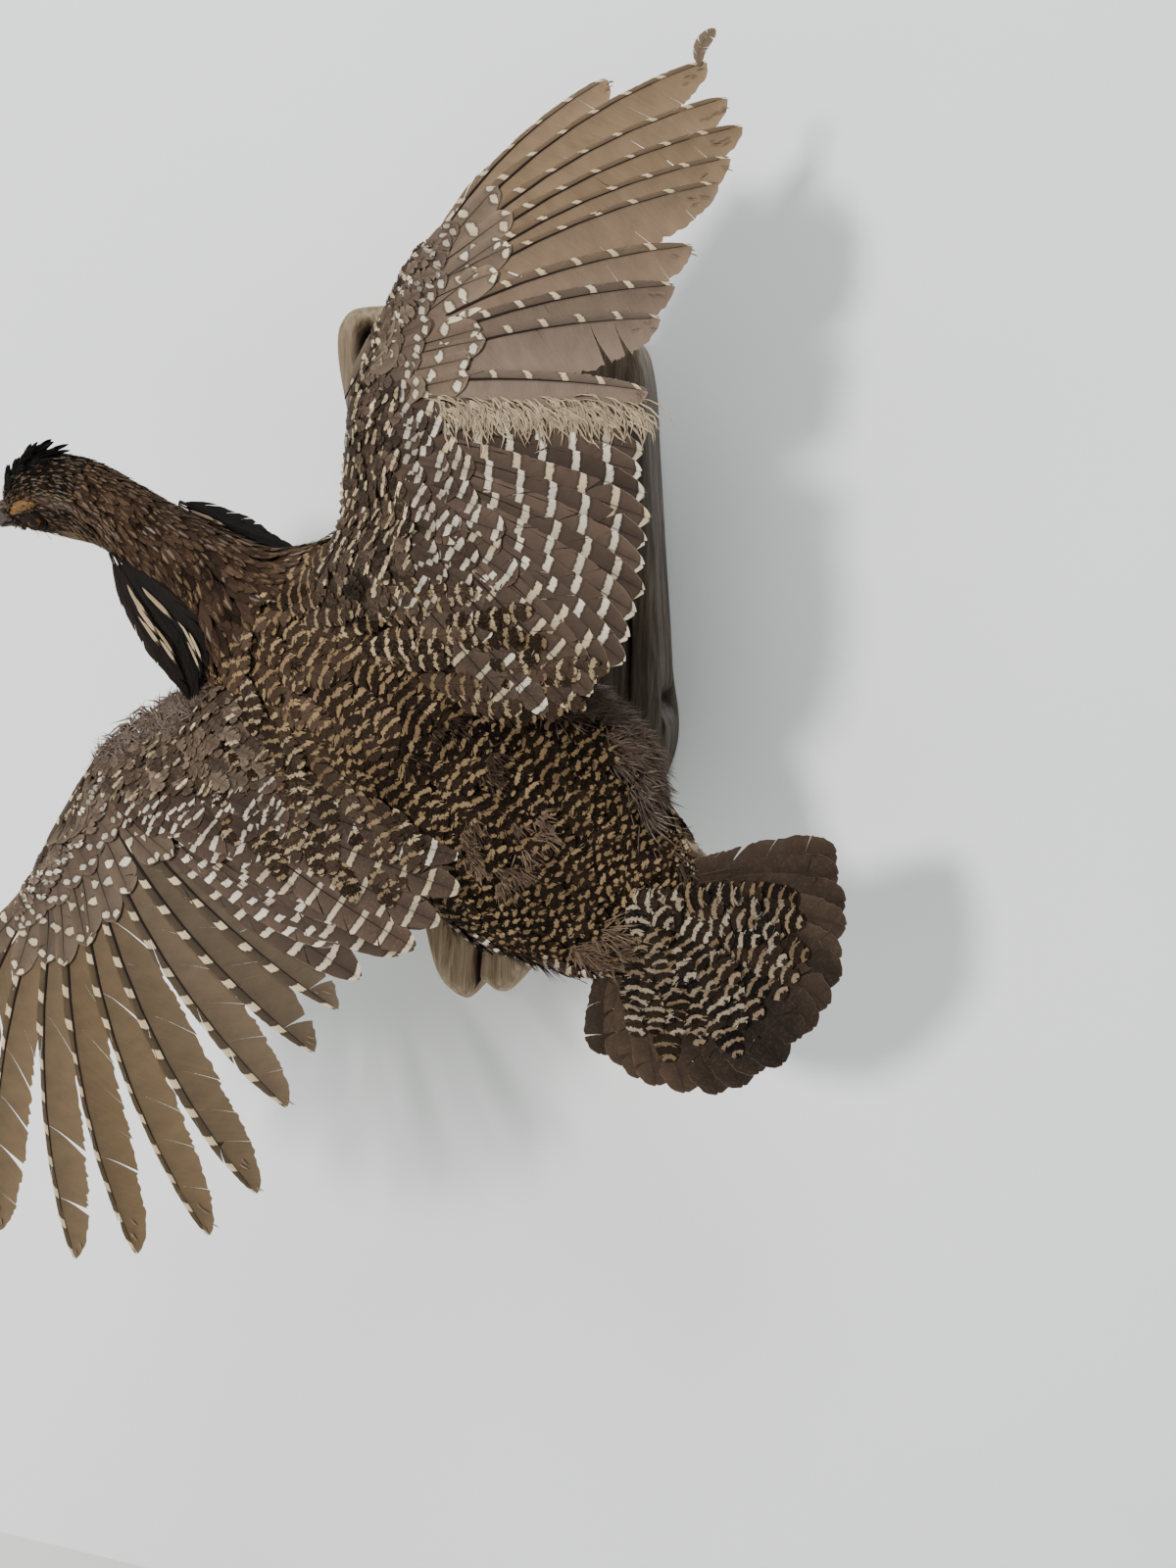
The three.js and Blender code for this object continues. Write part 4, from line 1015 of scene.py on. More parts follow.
def path_distance(path, x, z):
    nearest = np.full(np.shape(x), np.inf)
    for (ax, az), (bx, bz) in zip(path[:-1], path[1:]):
        length = (bx - ax) ** 2 + (bz - az) ** 2
        s = np.clip(((x - ax) * (bx - ax) + (z - az) * (bz - az)) / length, 0, 1)
        nearest = np.minimum(nearest, np.hypot(x - ax - s * (bx - ax), z - az - s * (bz - az)))
    return nearest


def wing_surface(wing, side, inset=0.0):
    """The distance from the wall of the wing's upper (side 1) or under (side -1) surface."""
    depth = wing_depth(wing)

    def surface(x, z):
        away = path_distance(wing["bones"], x, z) / ARM_SPREAD
        return depth(x, z) + side * (VANE + ARM_FLESH * np.exp(-away * away) - inset)
    return surface


def quills(wing):
    """Roots, tips and bows of the flight feathers, from the outermost primary inwards."""
    shoulder, elbow, wrist, hand = np.array(wing["bones"], float)
    rank = np.arange(PRIMARIES)[::-1] / (PRIMARIES - 1)
    roots = [lerp(wrist, hand, (0.08 + 0.92 * rank)[:, None])]
    tips = [np.array(wing["primary_tips"], float)[::-1]]
    bows = [wing["bow"] * lerp(0.4, 1.0, rank)]
    place = np.arange(SECONDARIES) / (SECONDARIES - 1)
    roots.append(lerp(wrist, elbow, (0.06 + 0.9 * place)[:, None]))
    short = np.where(np.arange(SECONDARIES) % 3, 0.86 if wing["lead"] < 0 else 0.985, 1.0)[:, None]
    tips.append(lerp(roots[-1], along(wing["secondary_tips"], place), short))
    bows.append(np.full(SECONDARIES, 0.25 * wing["bow"]))
    place = (np.arange(TERTIALS) + 0.5) / TERTIALS
    roots.append(lerp(elbow, shoulder, (0.55 * place)[:, None]))
    tips.append(np.array(wing["tertial_tips"], float))
    bows.append(np.full(TERTIALS, 0.1 * wing["bow"]))
    return np.concatenate(roots), np.concatenate(tips), np.concatenate(bows)


def sides(wing, lead, trail):
    """Widths to the left and right of a quill on the wing's upper side, from leading and trailing ones."""
    return (lead, trail) if wing["lead"] > 0 else (trail, lead)


def flight_feathers(wing):
    coat = Coat()
    roots, tips, bows = quills(wing)
    depth = wing_depth(wing)
    spines = field_spines(depth, roots, tips, bows, cross=225)
    lengths = np.linalg.norm(tips - roots, axis=1)
    lead, right = wing["lead"], wing["lead"] > 0

    def add(first, count, width, looks, **shape):
        which = slice(first, first + count)
        spine = {key: value[which] for key, value in spines.items()}
        coat.add(spine, lengths[which], width, looks, **shape)

    n = PRIMARIES
    rank = np.arange(n)[::-1]
    notched = np.where(rank >= 4, PRIMARY_NOTCHED * 0.75, PRIMARY_LEAD * 0.55)
    golden = smooth(0 if right else -4, 6, rank) * rng.uniform(0.7, 1.0, n)
    ground = mix(GREY_BROWN, GOLDEN_BROWN, golden) * rng.uniform(0.95, 1.2, (n, 1))
    # Painted light and shade: the right wing's primaries are painted brighter and a little bluer and the left
    # wing's much darker, for the light on each wing.
    ground = ground * ((1.08, 1.10, 1.16) if right else (0.60, 0.63, 0.63))
    ground[-1] = ground[-1] * (1.35 if right else 1.0)
    looks = look(n, ground, CREAM, period=14, duty=0.2 if right else 0.34, chevron=-2.0, one_vane=lead,
                 vary=0.06, start=rng.uniform(0, 5, n))
    add(0, n, sides(wing, PRIMARY_LEAD * 0.62, PRIMARY_TRAIL * (1.2 if right else 1.0)), looks, groups=8,
        lines=11, stations=4, root=0.04, sweep=0.10, rise=0.22, point=2.8, notch=(lead, NOTCH_AT, notched),
        root_height=-0.3, tip_height=0.15, camber=0.5, tilt=0.055 * lead,
        ragged=np.where(rank == 0, 0.18, 0.12), taper=0.01, split=0.3, thick=0.24, relief=0.05, shaft=0.95)

    n = SECONDARIES
    ground = mix(BROWN, GREY_BROWN, 0.15 * rng.random(n)) * rng.uniform(0.65, 0.95, (n, 1))
    looks = look(n, ground, drawn(CREAM, WHITE, n) * 0.85, period=13.5, duty=0.25, chevron=-1.5, rim=0.2,
                 vary=0.1, start=rng.uniform(-1, 1.5, n) * (1 if right else 3.5))
    add(PRIMARIES, n, sides(wing, 8.5, 13.5), looks, groups=5, lines=9, stations=3, root=0.05, sweep=0.10,
        rise=0.2, point=3.0, root_height=-0.2, tip_height=0.4, tilt=0.06 * lead, taper=0.03, split=0.45,
        thick=0.24, relief=0.08, shaft=0.5)

    n = TERTIALS
    looks = look(n, drawn(DARK_BROWN, BROWN, n), drawn(CREAM, WHITE, n) * 0.8, period=11, duty=0.25,
                 chevron=-0.5, mottle=0.04, start=rng.uniform(0, 4, n))
    add(PRIMARIES + SECONDARIES, n, 8.5 if right else 9.5, looks, groups=5, lines=6, rise=0.25, point=3.0,
        root_height=0.5, tip_height=1.6, camber=0.8, tilt=0.05 * lead, ragged=0.14, taper=0.08, shaft=0.4)
    loose_barbs(coat, wing, roots, tips, depth)
    return coat


def loose_barbs(coat, wing, roots, tips, depth):
    """Loose barbs at the primaries' tips and, on the right wing, along the innermost one's frayed edge."""
    right = wing["lead"] > 0
    fringe, frayed = (320, 40) if right else (0, 30)
    count = fringe + frayed
    on_fringe = np.arange(count) < fringe

    def either(fringe_value, tip_value):
        return np.where(on_fringe, fringe_value, tip_value)

    clumps = 26
    clump = np.round(rng.uniform(0, 1, count) * clumps) / clumps + 0.012 * rng.standard_normal(count)
    place = either(0.22 + 0.74 * clump, rng.uniform(0.9, 0.985, count))
    which = either(PRIMARIES - 1, rng.integers(0, PRIMARIES, count))
    chord = unit(tips - roots)
    trail = np.stack([chord[:, 1], -chord[:, 0]], -1) * wing["lead"]
    out = either(rng.uniform(3, 10.5, count), rng.uniform(0, 4, count))
    start = lerp(roots[which], tips[which], np.clip(place, 0, 0.985)[:, None]) + trail[which] * out[:, None]
    turn = either(0.85 + 0.22 * rng.standard_normal(count), 0.35 + 0.2 * rng.standard_normal(count))[:, None]
    ahead = chord[which] * np.cos(turn) + trail[which] * np.sin(turn)
    size = either(rng.uniform(7, 19, count), rng.uniform(2.5, 5, count))
    bow = wing["lead"] * either(0.14 + 0.14 * rng.standard_normal(count), 0.05)
    spine = field_spines(depth, start, start + ahead * size[:, None], bow)
    if right:
        pale = mix(GREY_BROWN, CREAM, 0.35 + 0.4 * rng.random(count))
    else:
        pale = drawn(GREY_BROWN, BROWN, count)
    ground = np.where(on_fringe[:, None], pale, drawn(GREY_BROWN, LIGHT_BROWN, count) * 1.15)
    looks = look(count, ground, CREAM, vary=0.12, **PLAIN)
    if right:
        curled = field_spines(depth, np.array([CURLED_FROM]), np.array([CURLED_TO]), 0.22)
        curled["points"][:, :, 1] -= np.linspace(0, 5, STEPS) ** 1.3
        coat.add(curled, CURLED_LENGTH, (3.2, 3.6), look(1, (0.120, 0.085, 0.055), CREAM, **PLAIN), groups=4,
                 lines=5, stations=3, root_height=0.2, tip_height=0.4, point=3.0, rise=0.5)
    coat.add(spine, size, 0.35, looks, HAIR, root_height=0.4, tip_height=0.6, thick=0.1,
             lift=either(rng.uniform(-0.3, 1.8, count), 0))


def edge_share(u, wrist, last):
    """Where along the wing's leading edge a quill's coverts start: u runs over the quills, up to the last."""
    return np.where(u < wrist, u / wrist * 2, 2 + (u - wrist) / (last - wrist) * 4) / 6


def covert_rows(wing, rows, side):
    """Feathers in rows between the wing's leading edge and its quills.

    Each row is (share of the way from the edge to the quills, first and last quill, count, length,
    half width, tip's height, and what the caller wants back). It yields
    spines, sizes, widths, quills and the row's rest.
    """
    roots, tips, _ = quills(wing)
    for share, (first, final), count, length, width, *rest in rows:
        u = np.linspace(first, final, count) + (rng.random(count) - 0.5) * 0.4 * (final - first) / count
        u = np.clip(u, 0, LAST_QUILL)
        from_edge = along(wing["edge"], edge_share(u, WRIST_AT, LAST_QUILL))
        quill, tip = along(roots, u / LAST_QUILL), along(tips, u / LAST_QUILL)
        start = lerp(from_edge, quill, share)
        ahead = unit(lerp(tip - start, tip - from_edge, 0.3))
        swing = 0.10 * rng.standard_normal(count)
        ahead = np.stack([ahead[:, 0] - swing * ahead[:, 1], ahead[:, 1] + swing * ahead[:, 0]], -1)
        size = length * uneven(count, 0.14)
        spine = field_spines(wing_surface(wing, side, 1.0), start, start + ahead * size[:, None],
                             0.02 * rng.standard_normal(count), side, cross=120)
        yield spine, size, width, u, rest


def rotated(direction, turn):
    """Plane directions turned by an angle, in radians."""
    x, z = direction[..., 0], direction[..., 1]
    return np.stack([x * np.cos(turn) - z * np.sin(turn), x * np.sin(turn) + z * np.cos(turn)], -1)


def wing_down(coat, wing):
    """Loose down in tufts that stand out along the arm's leading edge."""
    tufts, strands = 54, 24
    start = along(wing["edge"], rng.uniform(0.38, 0.8, tufts)) + rng.normal(0, 2.0, (tufts, 2))
    ahead = unit(along(quills(wing)[0], rng.uniform(0.42, 0.75, tufts)) - start)
    turn = wing["lead"] * (1.5 + 0.5 * rng.standard_normal(tufts))
    start, ahead, turn = (np.repeat(x, strands, 0) for x in (start + 2.5 * ahead, ahead, turn))
    n = len(start)
    ahead = rotated(ahead, turn + 0.35 * rng.standard_normal(n))
    size = rng.uniform(5, 13, n)
    spine = field_spines(wing_surface(wing, 1, 1.0), start + rng.normal(0, 0.6, (n, 2)),
                         start + ahead * size[:, None], 0.3 * rng.standard_normal(n), 1, cross=60)
    tone = np.clip(np.repeat(rng.random(tufts), strands) + 0.2 * rng.standard_normal(n), 0, 1)
    looks = look(n, mix(BROWN, (0.150, 0.115, 0.090), tone), CREAM, vary=0.2, **PLAIN)
    coat.add(spine, size, 0.22, looks, HAIR, lines=3, root_height=0.0, tip_height=2.0,
             lift=2.0 * rng.random(n), thick=0.08)


UPPER_ROWS = (   # share, quills, count, length, half width, tip height, kind
    (0.96, HAND, 10, 48, 8.0, 1.6, "hand"), (0.68, HAND, 11, 25, 6.0, 2.4, "median"),
    (0.44, HAND, 12, 17, 4.8, 2.9, "hand lesser"), (0.22, HAND, 14, 12, 3.8, 3.2, "hand lesser"),
    (0.02, HAND, 20, 9, 2.4, 3.0, "lesser"),
    (1.0, (ARM[0], ARM[1] - 2), 15, 36, 8.0, 1.8, "greater"),
              (0.84, (ARM[0], ARM[1] - 1), 18, 29, 7.0, 2.5, "median"),
    (0.68, ARM, 20, 25, 6.0, 3.0, "median"), (0.53, ARM, 22, 21, 5.2, 3.3, "lesser"),
    (0.4, ARM, 24, 18, 4.6, 3.5, "lesser"), (0.28, ARM, 26, 16, 4.2, 3.6, "lesser"),
    (0.16, ARM, 28, 13, 3.6, 3.6, "lesser"), (0.06, ARM, 32, 11, 3.0, 3.4, "lesser"),
    (-0.03, ARM, 36, 9, 2.4, 2.8, "lesser"))
COVERT_SHAPES = {
    "hand": dict(groups=4, lines=7, point=3.0, ragged=0.05, taper=0.0, split=0.2, shaft=0.3, camber=1.0,
                 root_height=-0.8, rise=0.3, relief=0.05),
    "greater": dict(groups=4, lines=6, point=3.0, ragged=0.07, taper=0.03, split=0.3, shaft=0.22, camber=1.0,
                    root_height=-1.2, rise=0.3, relief=0.08),
    "median": dict(lines=6, point=2.8, taper=0.06, camber=0.9, root_height=-1.8, relief=0.1),
    "lesser": dict(groups=4, lines=3, dense=0.7, split_size=0.07, ragged=0.28, taper=0.4, camber=0.4,
                   root_height=-2.0, thick=0.12)}


def covert_looks(kind, u, right):
    n = len(u)
    if kind == "hand":
        # Painted light and shade: the right hand's coverts are painted lighter and the left hand's darker,
        # for the light on each wing.
        return look(n, mix(GREY_BROWN, LIGHT_BROWN, 0.3 * rng.random(n)) * (1.1 if right else 0.75),
                    drawn(CREAM, WHITE, n), period=14, duty=0.28, paired=0.75, offset=0.3 * rng.random(n),
                    vary=0.08, start=rng.uniform(2, 6, n))
    if kind == "greater":
        return look(n, mix(DARK_BROWN, BROWN, 0.5 + 0.6 * rng.random(n)), drawn(CREAM, WHITE, n) * 0.82,
                    period=10.5, duty=0.27, chevron=-0.5, offset=0.15 * rng.random(n), vary=0.1,
                    start=rng.uniform(2, 5, n))
    if kind == "median":
        hand = u < WRIST_AT
        ground = np.where(hand[:, None], drawn(BROWN, GREY_BROWN, n), drawn(DARK_BROWN, BROWN, n))
        mark = mix(BUFF, WHITE, 0.4 + 0.5 * rng.random(n)) * (0.8 if right else 0.9)
        return look(n, ground, mark, period=10.5, duty=np.where(hand, 0.3, 0.26 if right else 0.2),
                    paired=np.where(hand, 0.8, 0.1), offset=0.2 * rng.random(n),
                    start=2.8 + 2.5 * rng.random(n))
    on_hand = kind == "hand lesser"
    plain = rng.random(n) < (0.55 if on_hand else 0.45 if right else 0.68)
    darkest, palest = (BROWN, GREY_BROWN) if on_hand else (BLACK_BROWN, BROWN) if right else (DARK_BROWN,
                                                                                              GREY_BROWN)
    ground = drawn(darkest, palest, n)
    mark = mix(DARK_BUFF, WHITE if on_hand else CREAM, 0.3 + 0.7 * rng.random(n))
    return look(n, ground, mark, period=9.0 if on_hand else 7.0, duty=np.where(plain, 0, 0.3),
                paired=0.5 if on_hand else 0.1, mottle=0.08, vary=0.18, start=1.0 + 3.0 * rng.random(n))


def upper_coverts(wing):
    coat = Coat()
    right = wing["lead"] > 0
    if not right:
        wing_down(coat, wing)
    for spine, size, width, u, (height, kind) in covert_rows(wing, UPPER_ROWS, 1):
        n = len(size)
        looks = covert_looks(kind, u, right)
        shape = dict(COVERT_SHAPES[kind.split()[-1]])
        if kind.endswith("lesser"):
            shape["lift"] = np.where(rng.random(n) < 0.12, 2.5, 0.3) * rng.random(n)
            shape["tilt"] = 0.06 * (rng.random(n) - 0.5)
        coat.add(spine, size, width, looks, shape, tip_height=height * lerp(0.85, 1.1, rng.random(n)))
    return coat


def alula(wing):
    """The four stiff feathers of the thumb, over the primary coverts."""
    wrist, hand = np.array(wing["bones"][2:], float)
    ahead = unit(hand - wrist)
    count = 4
    k = np.arange(count)
    start = lerp(wrist, np.array(wing["edge"][2], float), 0.75) + ahead * (2.0 * k[:, None] - 2)
    direction = rotated(ahead, np.radians(-wing["lead"] * (4 + 7 * k)))
    size = 40 - 5.0 * k
    spine = field_spines(wing_surface(wing, 1, 0.5), start, start + direction * size[:, None],
                         -0.05 * wing["lead"], cross=120)
    coat = Coat()
    looks = look(count, np.array(GREY_BROWN) * 0.8, CREAM, period=11, duty=0.25, one_vane=wing["lead"])
    coat.add(spine, size, sides(wing, 3.0, 6.5), looks, groups=4, lines=6, point=2.4, root_height=0.5,
             tip_height=2.6, camber=0.8, ragged=0.07, taper=0.0, split=0.2, shaft=0.35)
    return coat


UNDER_ROWS = (   # share, quills, count, length, half width, tip height
    (0.95, HAND, 10, 40, 7.5, 1.3), (0.6, HAND, 12, 24, 5.5, 2.0), (0.25, HAND, 14, 15, 4.0, 2.4),
    (0.0, HAND, 16, 9, 2.6, 2.2), (1.0, (ARM[0], ARM[1] - 2), 14, 32, 7.5, 1.4), (0.8, ARM, 16, 27, 6.8, 2.0),
    (0.6, ARM, 18, 23, 6.0, 2.4), (0.42, ARM, 20, 19, 5.2, 2.7), (0.26, ARM, 22, 16, 4.6, 2.8),
    (0.12, ARM, 24, 13, 3.8, 2.6), (0.0, ARM, 28, 10, 3.0, 2.0))


def under_coverts(wing):
    coat = Coat()
    for spine, size, width, _, (height,) in covert_rows(wing, UNDER_ROWS, -1):
        n = len(size)
        looks = look(n, drawn(CREAM, WHITE, n), drawn(GREY_BROWN, BROWN, n), period=9,
                     duty=0.22 * (rng.random(n) < 0.6), mottle=0.1)
        coat.add(spine, size, width, looks, point=2.6, root_height=-1.6, tip_height=height, camber=0.8,
                 ragged=0.12, split_size=0.04)
    return coat


# ---------------------------------------------------------------- the join between back and wings
def top_field(side):
    """The front-most surface of the body and one wing, as a distance from the wall over a grid."""
    cell, low, high = 2.0, np.array([-140.0, -170.0]), np.array([130.0, 130.0])
    behind, neck_end, blend = 60.0, 9.5, 3.0
    size = ((high - low) / cell).astype(int)
    trunk = grid_points[: int(neck_end / LAST * GRID_T)].reshape(-1, 3)
    ij = ((trunk[:, [0, 2]] - low) / cell).astype(int)
    field = np.full(size, behind)
    inside = ((ij >= 0) & (ij < size)).all(1)
    np.maximum.at(field, tuple(ij[inside].T), -trunk[inside, 1])
    x, z = np.meshgrid(*(low[k] + (np.arange(size[k]) + 0.5) * cell for k in (0, 1)), indexing="ij")
    field = blend * np.logaddexp(field / blend, wing_surface(WINGS[side], 1)(x, z) / blend)
    for _ in range(2):
        padded = np.pad(field, 1, mode="edge")
        field = sum(padded[1 + i:1 + i + size[0], 1 + j:1 + j + size[1]]
                    for i in (-1, 0, 1) for j in (-1, 0, 1)) / 9

    def depth(px, pz):
        u, v = (np.clip((p - low[k]) / cell - 0.5, 0, size[k] - 1.001) for k, p in enumerate((px, pz)))
        return between_cells(field, u, v)
    return depth


def heading(degrees):
    """Directions in the wall's plane, in degrees from +X."""
    turn = np.radians(degrees)
    return np.stack([np.cos(turn), np.sin(turn)], -1)


SHOULDERS = {   # root line, its outer line, and the directions at both ends in degrees from +X
    "right": (((-82, 12), (-48, 2), (-10, -12), (22, -30)), ((-64, 26), (-28, 22), (12, 10), (44, -14)),
              (22, -4)),
    "left": (((-92, -14), (-76, -36), (-44, -54), (-14, -70)),
             ((-108, -34), (-92, -62), (-62, -76), (-30, -90)), (-62, -50))}


def scapulars():
    """Long shoulder feathers that lie over the join of each wing and the back."""
    coat = Coat()
    count, layers = 12, 5
    for side, (inner, outer, (first, final)) in SHOULDERS.items():
        depth = top_field(side)
        for layer in range(layers):
            place = (np.arange(count) + 0.5 * (layer % 2) + 0.2 * rng.random(count)) / count
            start = lerp(along(inner, place), along(outer, place), 1 - layer / (layers - 1))
            direction = heading(lerp(first, final, place) + 7 * rng.standard_normal(count))
            size = lerp(24, 30, place) * (1 + 0.12 * rng.standard_normal(count))
            spine = field_spines(depth, start, start + direction * size[:, None],
                                 0.03 * rng.standard_normal(count), cross=60)
            looks = look(count, mix(BLACK_BROWN, BROWN, 0.7 * rng.random(count)),
                         mix(DARK_BUFF, CREAM, 0.5 * rng.random(count)), period=lerp(5.6, 7.0, place),
                         duty=0.36, chevron=1.0, mottle=0.08, start=2 * rng.random(count), paired=0.3)
            coat.add(spine, size, 5.4, looks, SHAGGY, root_height=-2.6, tip_height=1.0 + 0.2 * (4 - layer),
                     lift=1.5 * rng.random(count) ** 3, ragged=0.22, taper=0.35,
                     tilt=0.1 * (rng.random(count) - 0.5), split=0.6, camber=0.7, point=2.5)
    return coat


# ---------------------------------------------------------------- tail
def from_hub(reach, degrees):
    return np.array(TAIL["hub"], float) + np.reshape(reach, (-1, 1)) * heading(degrees)


def tail_surface(side=0):
    axis = np.radians(TAIL["axis"])

    def depth(x, z):
        dx, dz = x - TAIL["hub"][0], z - TAIL["hub"][1]
        ahead = dx * np.cos(axis) + dz * np.sin(axis)
        aside = -dx * np.sin(axis) + dz * np.cos(axis)
        reach = np.hypot(dx, dz) / TAIL["reach"]
        half = VANE + TAIL["flesh"] * np.exp(-2 * reach * reach)
        return TAIL["depth"] + TAIL["rise"] * ahead - TAIL["droop"] * aside ** 2 + side * half
    return depth


def tail_feathers():
    coat = Coat()
    n = TAIL["count"]
    place = np.arange(n) / (n - 1)
    reach = along(TAIL["lengths"], place) * rng.uniform(0.965, 1.01, n)
    fan = lerp(*TAIL["fan"], place)
    roots = from_hub(TAIL["root"] * 0.4, lerp(*TAIL["root_angles"], place) * 0.35 + fan * 0.65)
    tips = from_hub(reach, fan + 1.2 * rng.standard_normal(n))
    outer_left = np.where(place < 0.5, 1, -1)
    spine = field_spines(tail_surface(), roots, tips, 0.03 * outer_left, cross=300)
    length = np.linalg.norm(tips - roots, axis=1)
    middle = 1 - np.abs(2 * place - 1)
    ground = mix((0.034, 0.021, 0.013), (0.013, 0.008, 0.005), smooth(0.35, 1.0, middle))
    ground = ground * rng.uniform(0.7, 1.25, (n, 1))
    looks = look(n, ground, (0.105, 0.077, 0.056), rim=0.3, mottle=0.1, **PLAIN)
    narrow, wide = 9.5, 12.5
    widths = tuple(np.where(outer_left * side > 0, narrow, wide) for side in (1, -1))
    coat.add(spine, length, widths, looks, groups=5, lines=9, stations=3, root=0.05, sweep=0.12, rise=0.3,
             point=6.5, root_height=0.0, tip_height=0.3, tilt=0.085 * outer_left, camber=0.9, ragged=0.14,
             taper=0.03, split=0.6, split_size=0.045, thick=0.24, relief=0.1, shaft=0.4)
    return coat


def tail_coverts():
    coat = Coat()
    first, final = TAIL["tip_angles"]
    upper_rows = (33, 40, 7.6, 1.6), (25, 37, 7.4, 2.8), (16, 35, 7.0, 3.8), (6, 33, 6.8, 4.4), (-8, 31, 6.4,
                                                                                                 4.6)
    for row, (reach, length, width, height) in enumerate(upper_rows):
        count = 20 - row
        place = (np.arange(count) + 0.5 * (row % 2) + 0.3 * rng.random(count)) / count
        angle = lerp(first - 2, final + 8, place)
        size = length * (1 + 0.13 * rng.standard_normal(count)) * lerp(0.74, 0.95, np.sin(np.pi * place))
        start = from_hub(reach, angle)
        tips = start + size[:, None] * heading(angle + 5 * rng.standard_normal(count))
        spine = field_spines(tail_surface(1), start, tips, 0, cross=60)
        looks = look(count, mix(BLACK, DARK_BROWN, 0.7 * rng.random(count)),
                     drawn(DARK_BUFF, (0.250, 0.205, 0.150), count), period=rng.uniform(4.4, 6.0, count),
                     duty=0.38, chevron=1.5, mottle=0.04, start=rng.uniform(2.2, 4.5, count))
        coat.add(spine, size, width, looks, SHAGGY, groups=6, point=2.6, root_height=-3.0, tip_height=height,
                 camber=0.8, tilt=0.1 * (rng.random(count) - 0.5), lift=2.0 * rng.random(count) ** 3)
    count = 15
    for row, (reach, length,
              height) in enumerate(((30, 34, 1.2), (18, 32, 2.2), (6, 30, 3.0), (-8, 28, 3.4))):
        place = (np.arange(count) + 0.5 * (row % 2)) / count
        angle = lerp(first - 6, final + 8, place)
        size = length * (1 + 0.1 * rng.standard_normal(count))
        tips = from_hub(reach + size, angle + 4 * rng.standard_normal(count))
        spine = field_spines(tail_surface(-1), from_hub(reach, angle), tips, 0, -1, cross=60)
        looks = look(count, drawn(CREAM, WHITE, count), drawn(BROWN, DARK_BROWN, count), period=9, duty=0.3,
                     chevron=2)
        coat.add(spine, size, 6.8, looks, point=2.6, root_height=-2.4, tip_height=height, camber=1.0,
                 ragged=0.14, taper=0.15, split_size=0.05)
    return coat


# ---------------------------------------------------------------- loose feathers at the flanks and vent
DOWN_PATCHES = (   # station, angle in degrees, tufts, turn in degrees, length, lift, colours
    ((3.0, 1.0), (158, 24), 66, 22, 20, 6, BROWN, (0.170, 0.132, 0.108)),
    ((1.3, 0.7), (42, 22), 40, -12, 24, 9, BROWN, (0.190, 0.132, 0.088)),
    ((0.7, 0.5), (150, 30), 16, 20, 18, 5, BROWN, GREY_BROWN),
    ((3.4, 0.5), (82, 18), 15, 0, 11, 4, BROWN, (0.150, 0.105, 0.070)),
    ((2.8, 0.9), (5, 12), 26, -25, 20, 5, DARK_BROWN, BROWN),
    ((5.2, 1.4), (100, 45), 10, 0, 13, 4, BLACK_BROWN, BROWN))
BARRED_PATCHES = (   # station, angle in degrees, feathers, turn in degrees, length
    ((1.9, 0.4), (172, 10), 12, 25, 20), ((0.8, 0.4), (160, 18), 18, 22, 25),
    ((2.7, 0.8), (14, 14), 30, -18, 26), ((1.2, 0.7), (26, 22), 34, -24, 30))


def fluff():
    """Downy tufts at the flanks, rump and vent, and a few small barred feathers among them.

    The stations and angles are a middle and how far the patch spreads to each side of it.
    """
    coat = Coat()
    strands = 26
    for (t, dt), (angle, da), count, turn, length, lift, low, high in DOWN_PATCHES:
        t = np.repeat(t + dt * rng.uniform(-1, 1, count),
                      strands) + 0.03 * rng.standard_normal(count * strands)
        angle = np.repeat(np.radians(angle + da * rng.uniform(-1, 1, count)), strands)
        n = len(t)
        size = length * np.repeat(rng.uniform(0.6, 1.2, count), strands) * rng.uniform(0.4, 1.1, n)
        lean = np.repeat(turn + 16 * rng.standard_normal(count), strands) + 26 * rng.standard_normal(n)
        spine = body_spines(t, angle + 0.02 * rng.standard_normal(n), np.radians(lean), size)
        tone = np.clip(np.repeat(rng.random(count), strands) + 0.25 * rng.standard_normal(n), 0, 1)
        looks = look(n, mix(low, high, tone), CREAM, vary=0.2, **PLAIN)
        coat.add(spine, size, 0.3, looks, HAIR, lines=3, root_height=-3.0, tip_height=0.5, thick=0.08,
                 lift=lift * np.repeat(rng.random(count), strands) * rng.uniform(0.2, 1.2, n))
    for (t, dt), (angle, da), count, turn, length in BARRED_PATCHES:
        t = t + dt * rng.uniform(-1, 1, count)
        spine = body_spines(t, np.radians(angle + da * rng.uniform(-1, 1, count)),
                            np.radians(turn + 14 * rng.standard_normal(count)), np.full(count, float(length)))
        looks = look(count, drawn(BLACK_BROWN, BROWN, count), drawn(BUFF, WHITE, count), period=5.5,
                     vary=0.15)
        coat.add(spine, length, 4.2, looks, SHAGGY, point=2.4, root_height=-3.0, tip_height=1.0,
                 lift=3 * rng.random(count), ragged=0.25, split_size=0.06, camber=0.4, thick=0.12, relief=0.3)
    return coat


# ---------------------------------------------------------------- legs and feet
LEG_ACROSS = np.array([0.541, 0, 0.841])
LEG_APART = 15                   # from the body's middle
LEG_PATH = np.array([[18, -90, -62], [48, -82, -80], [80, -88, -99]], float)
LEG_RADII = (12, 9, 3.8)
BELOW = np.array([0, 1.0, 0])    # the wall's side, which the bird's underside faces


def leg_offset(sign):
    return LEG_ACROSS * sign * LEG_APART


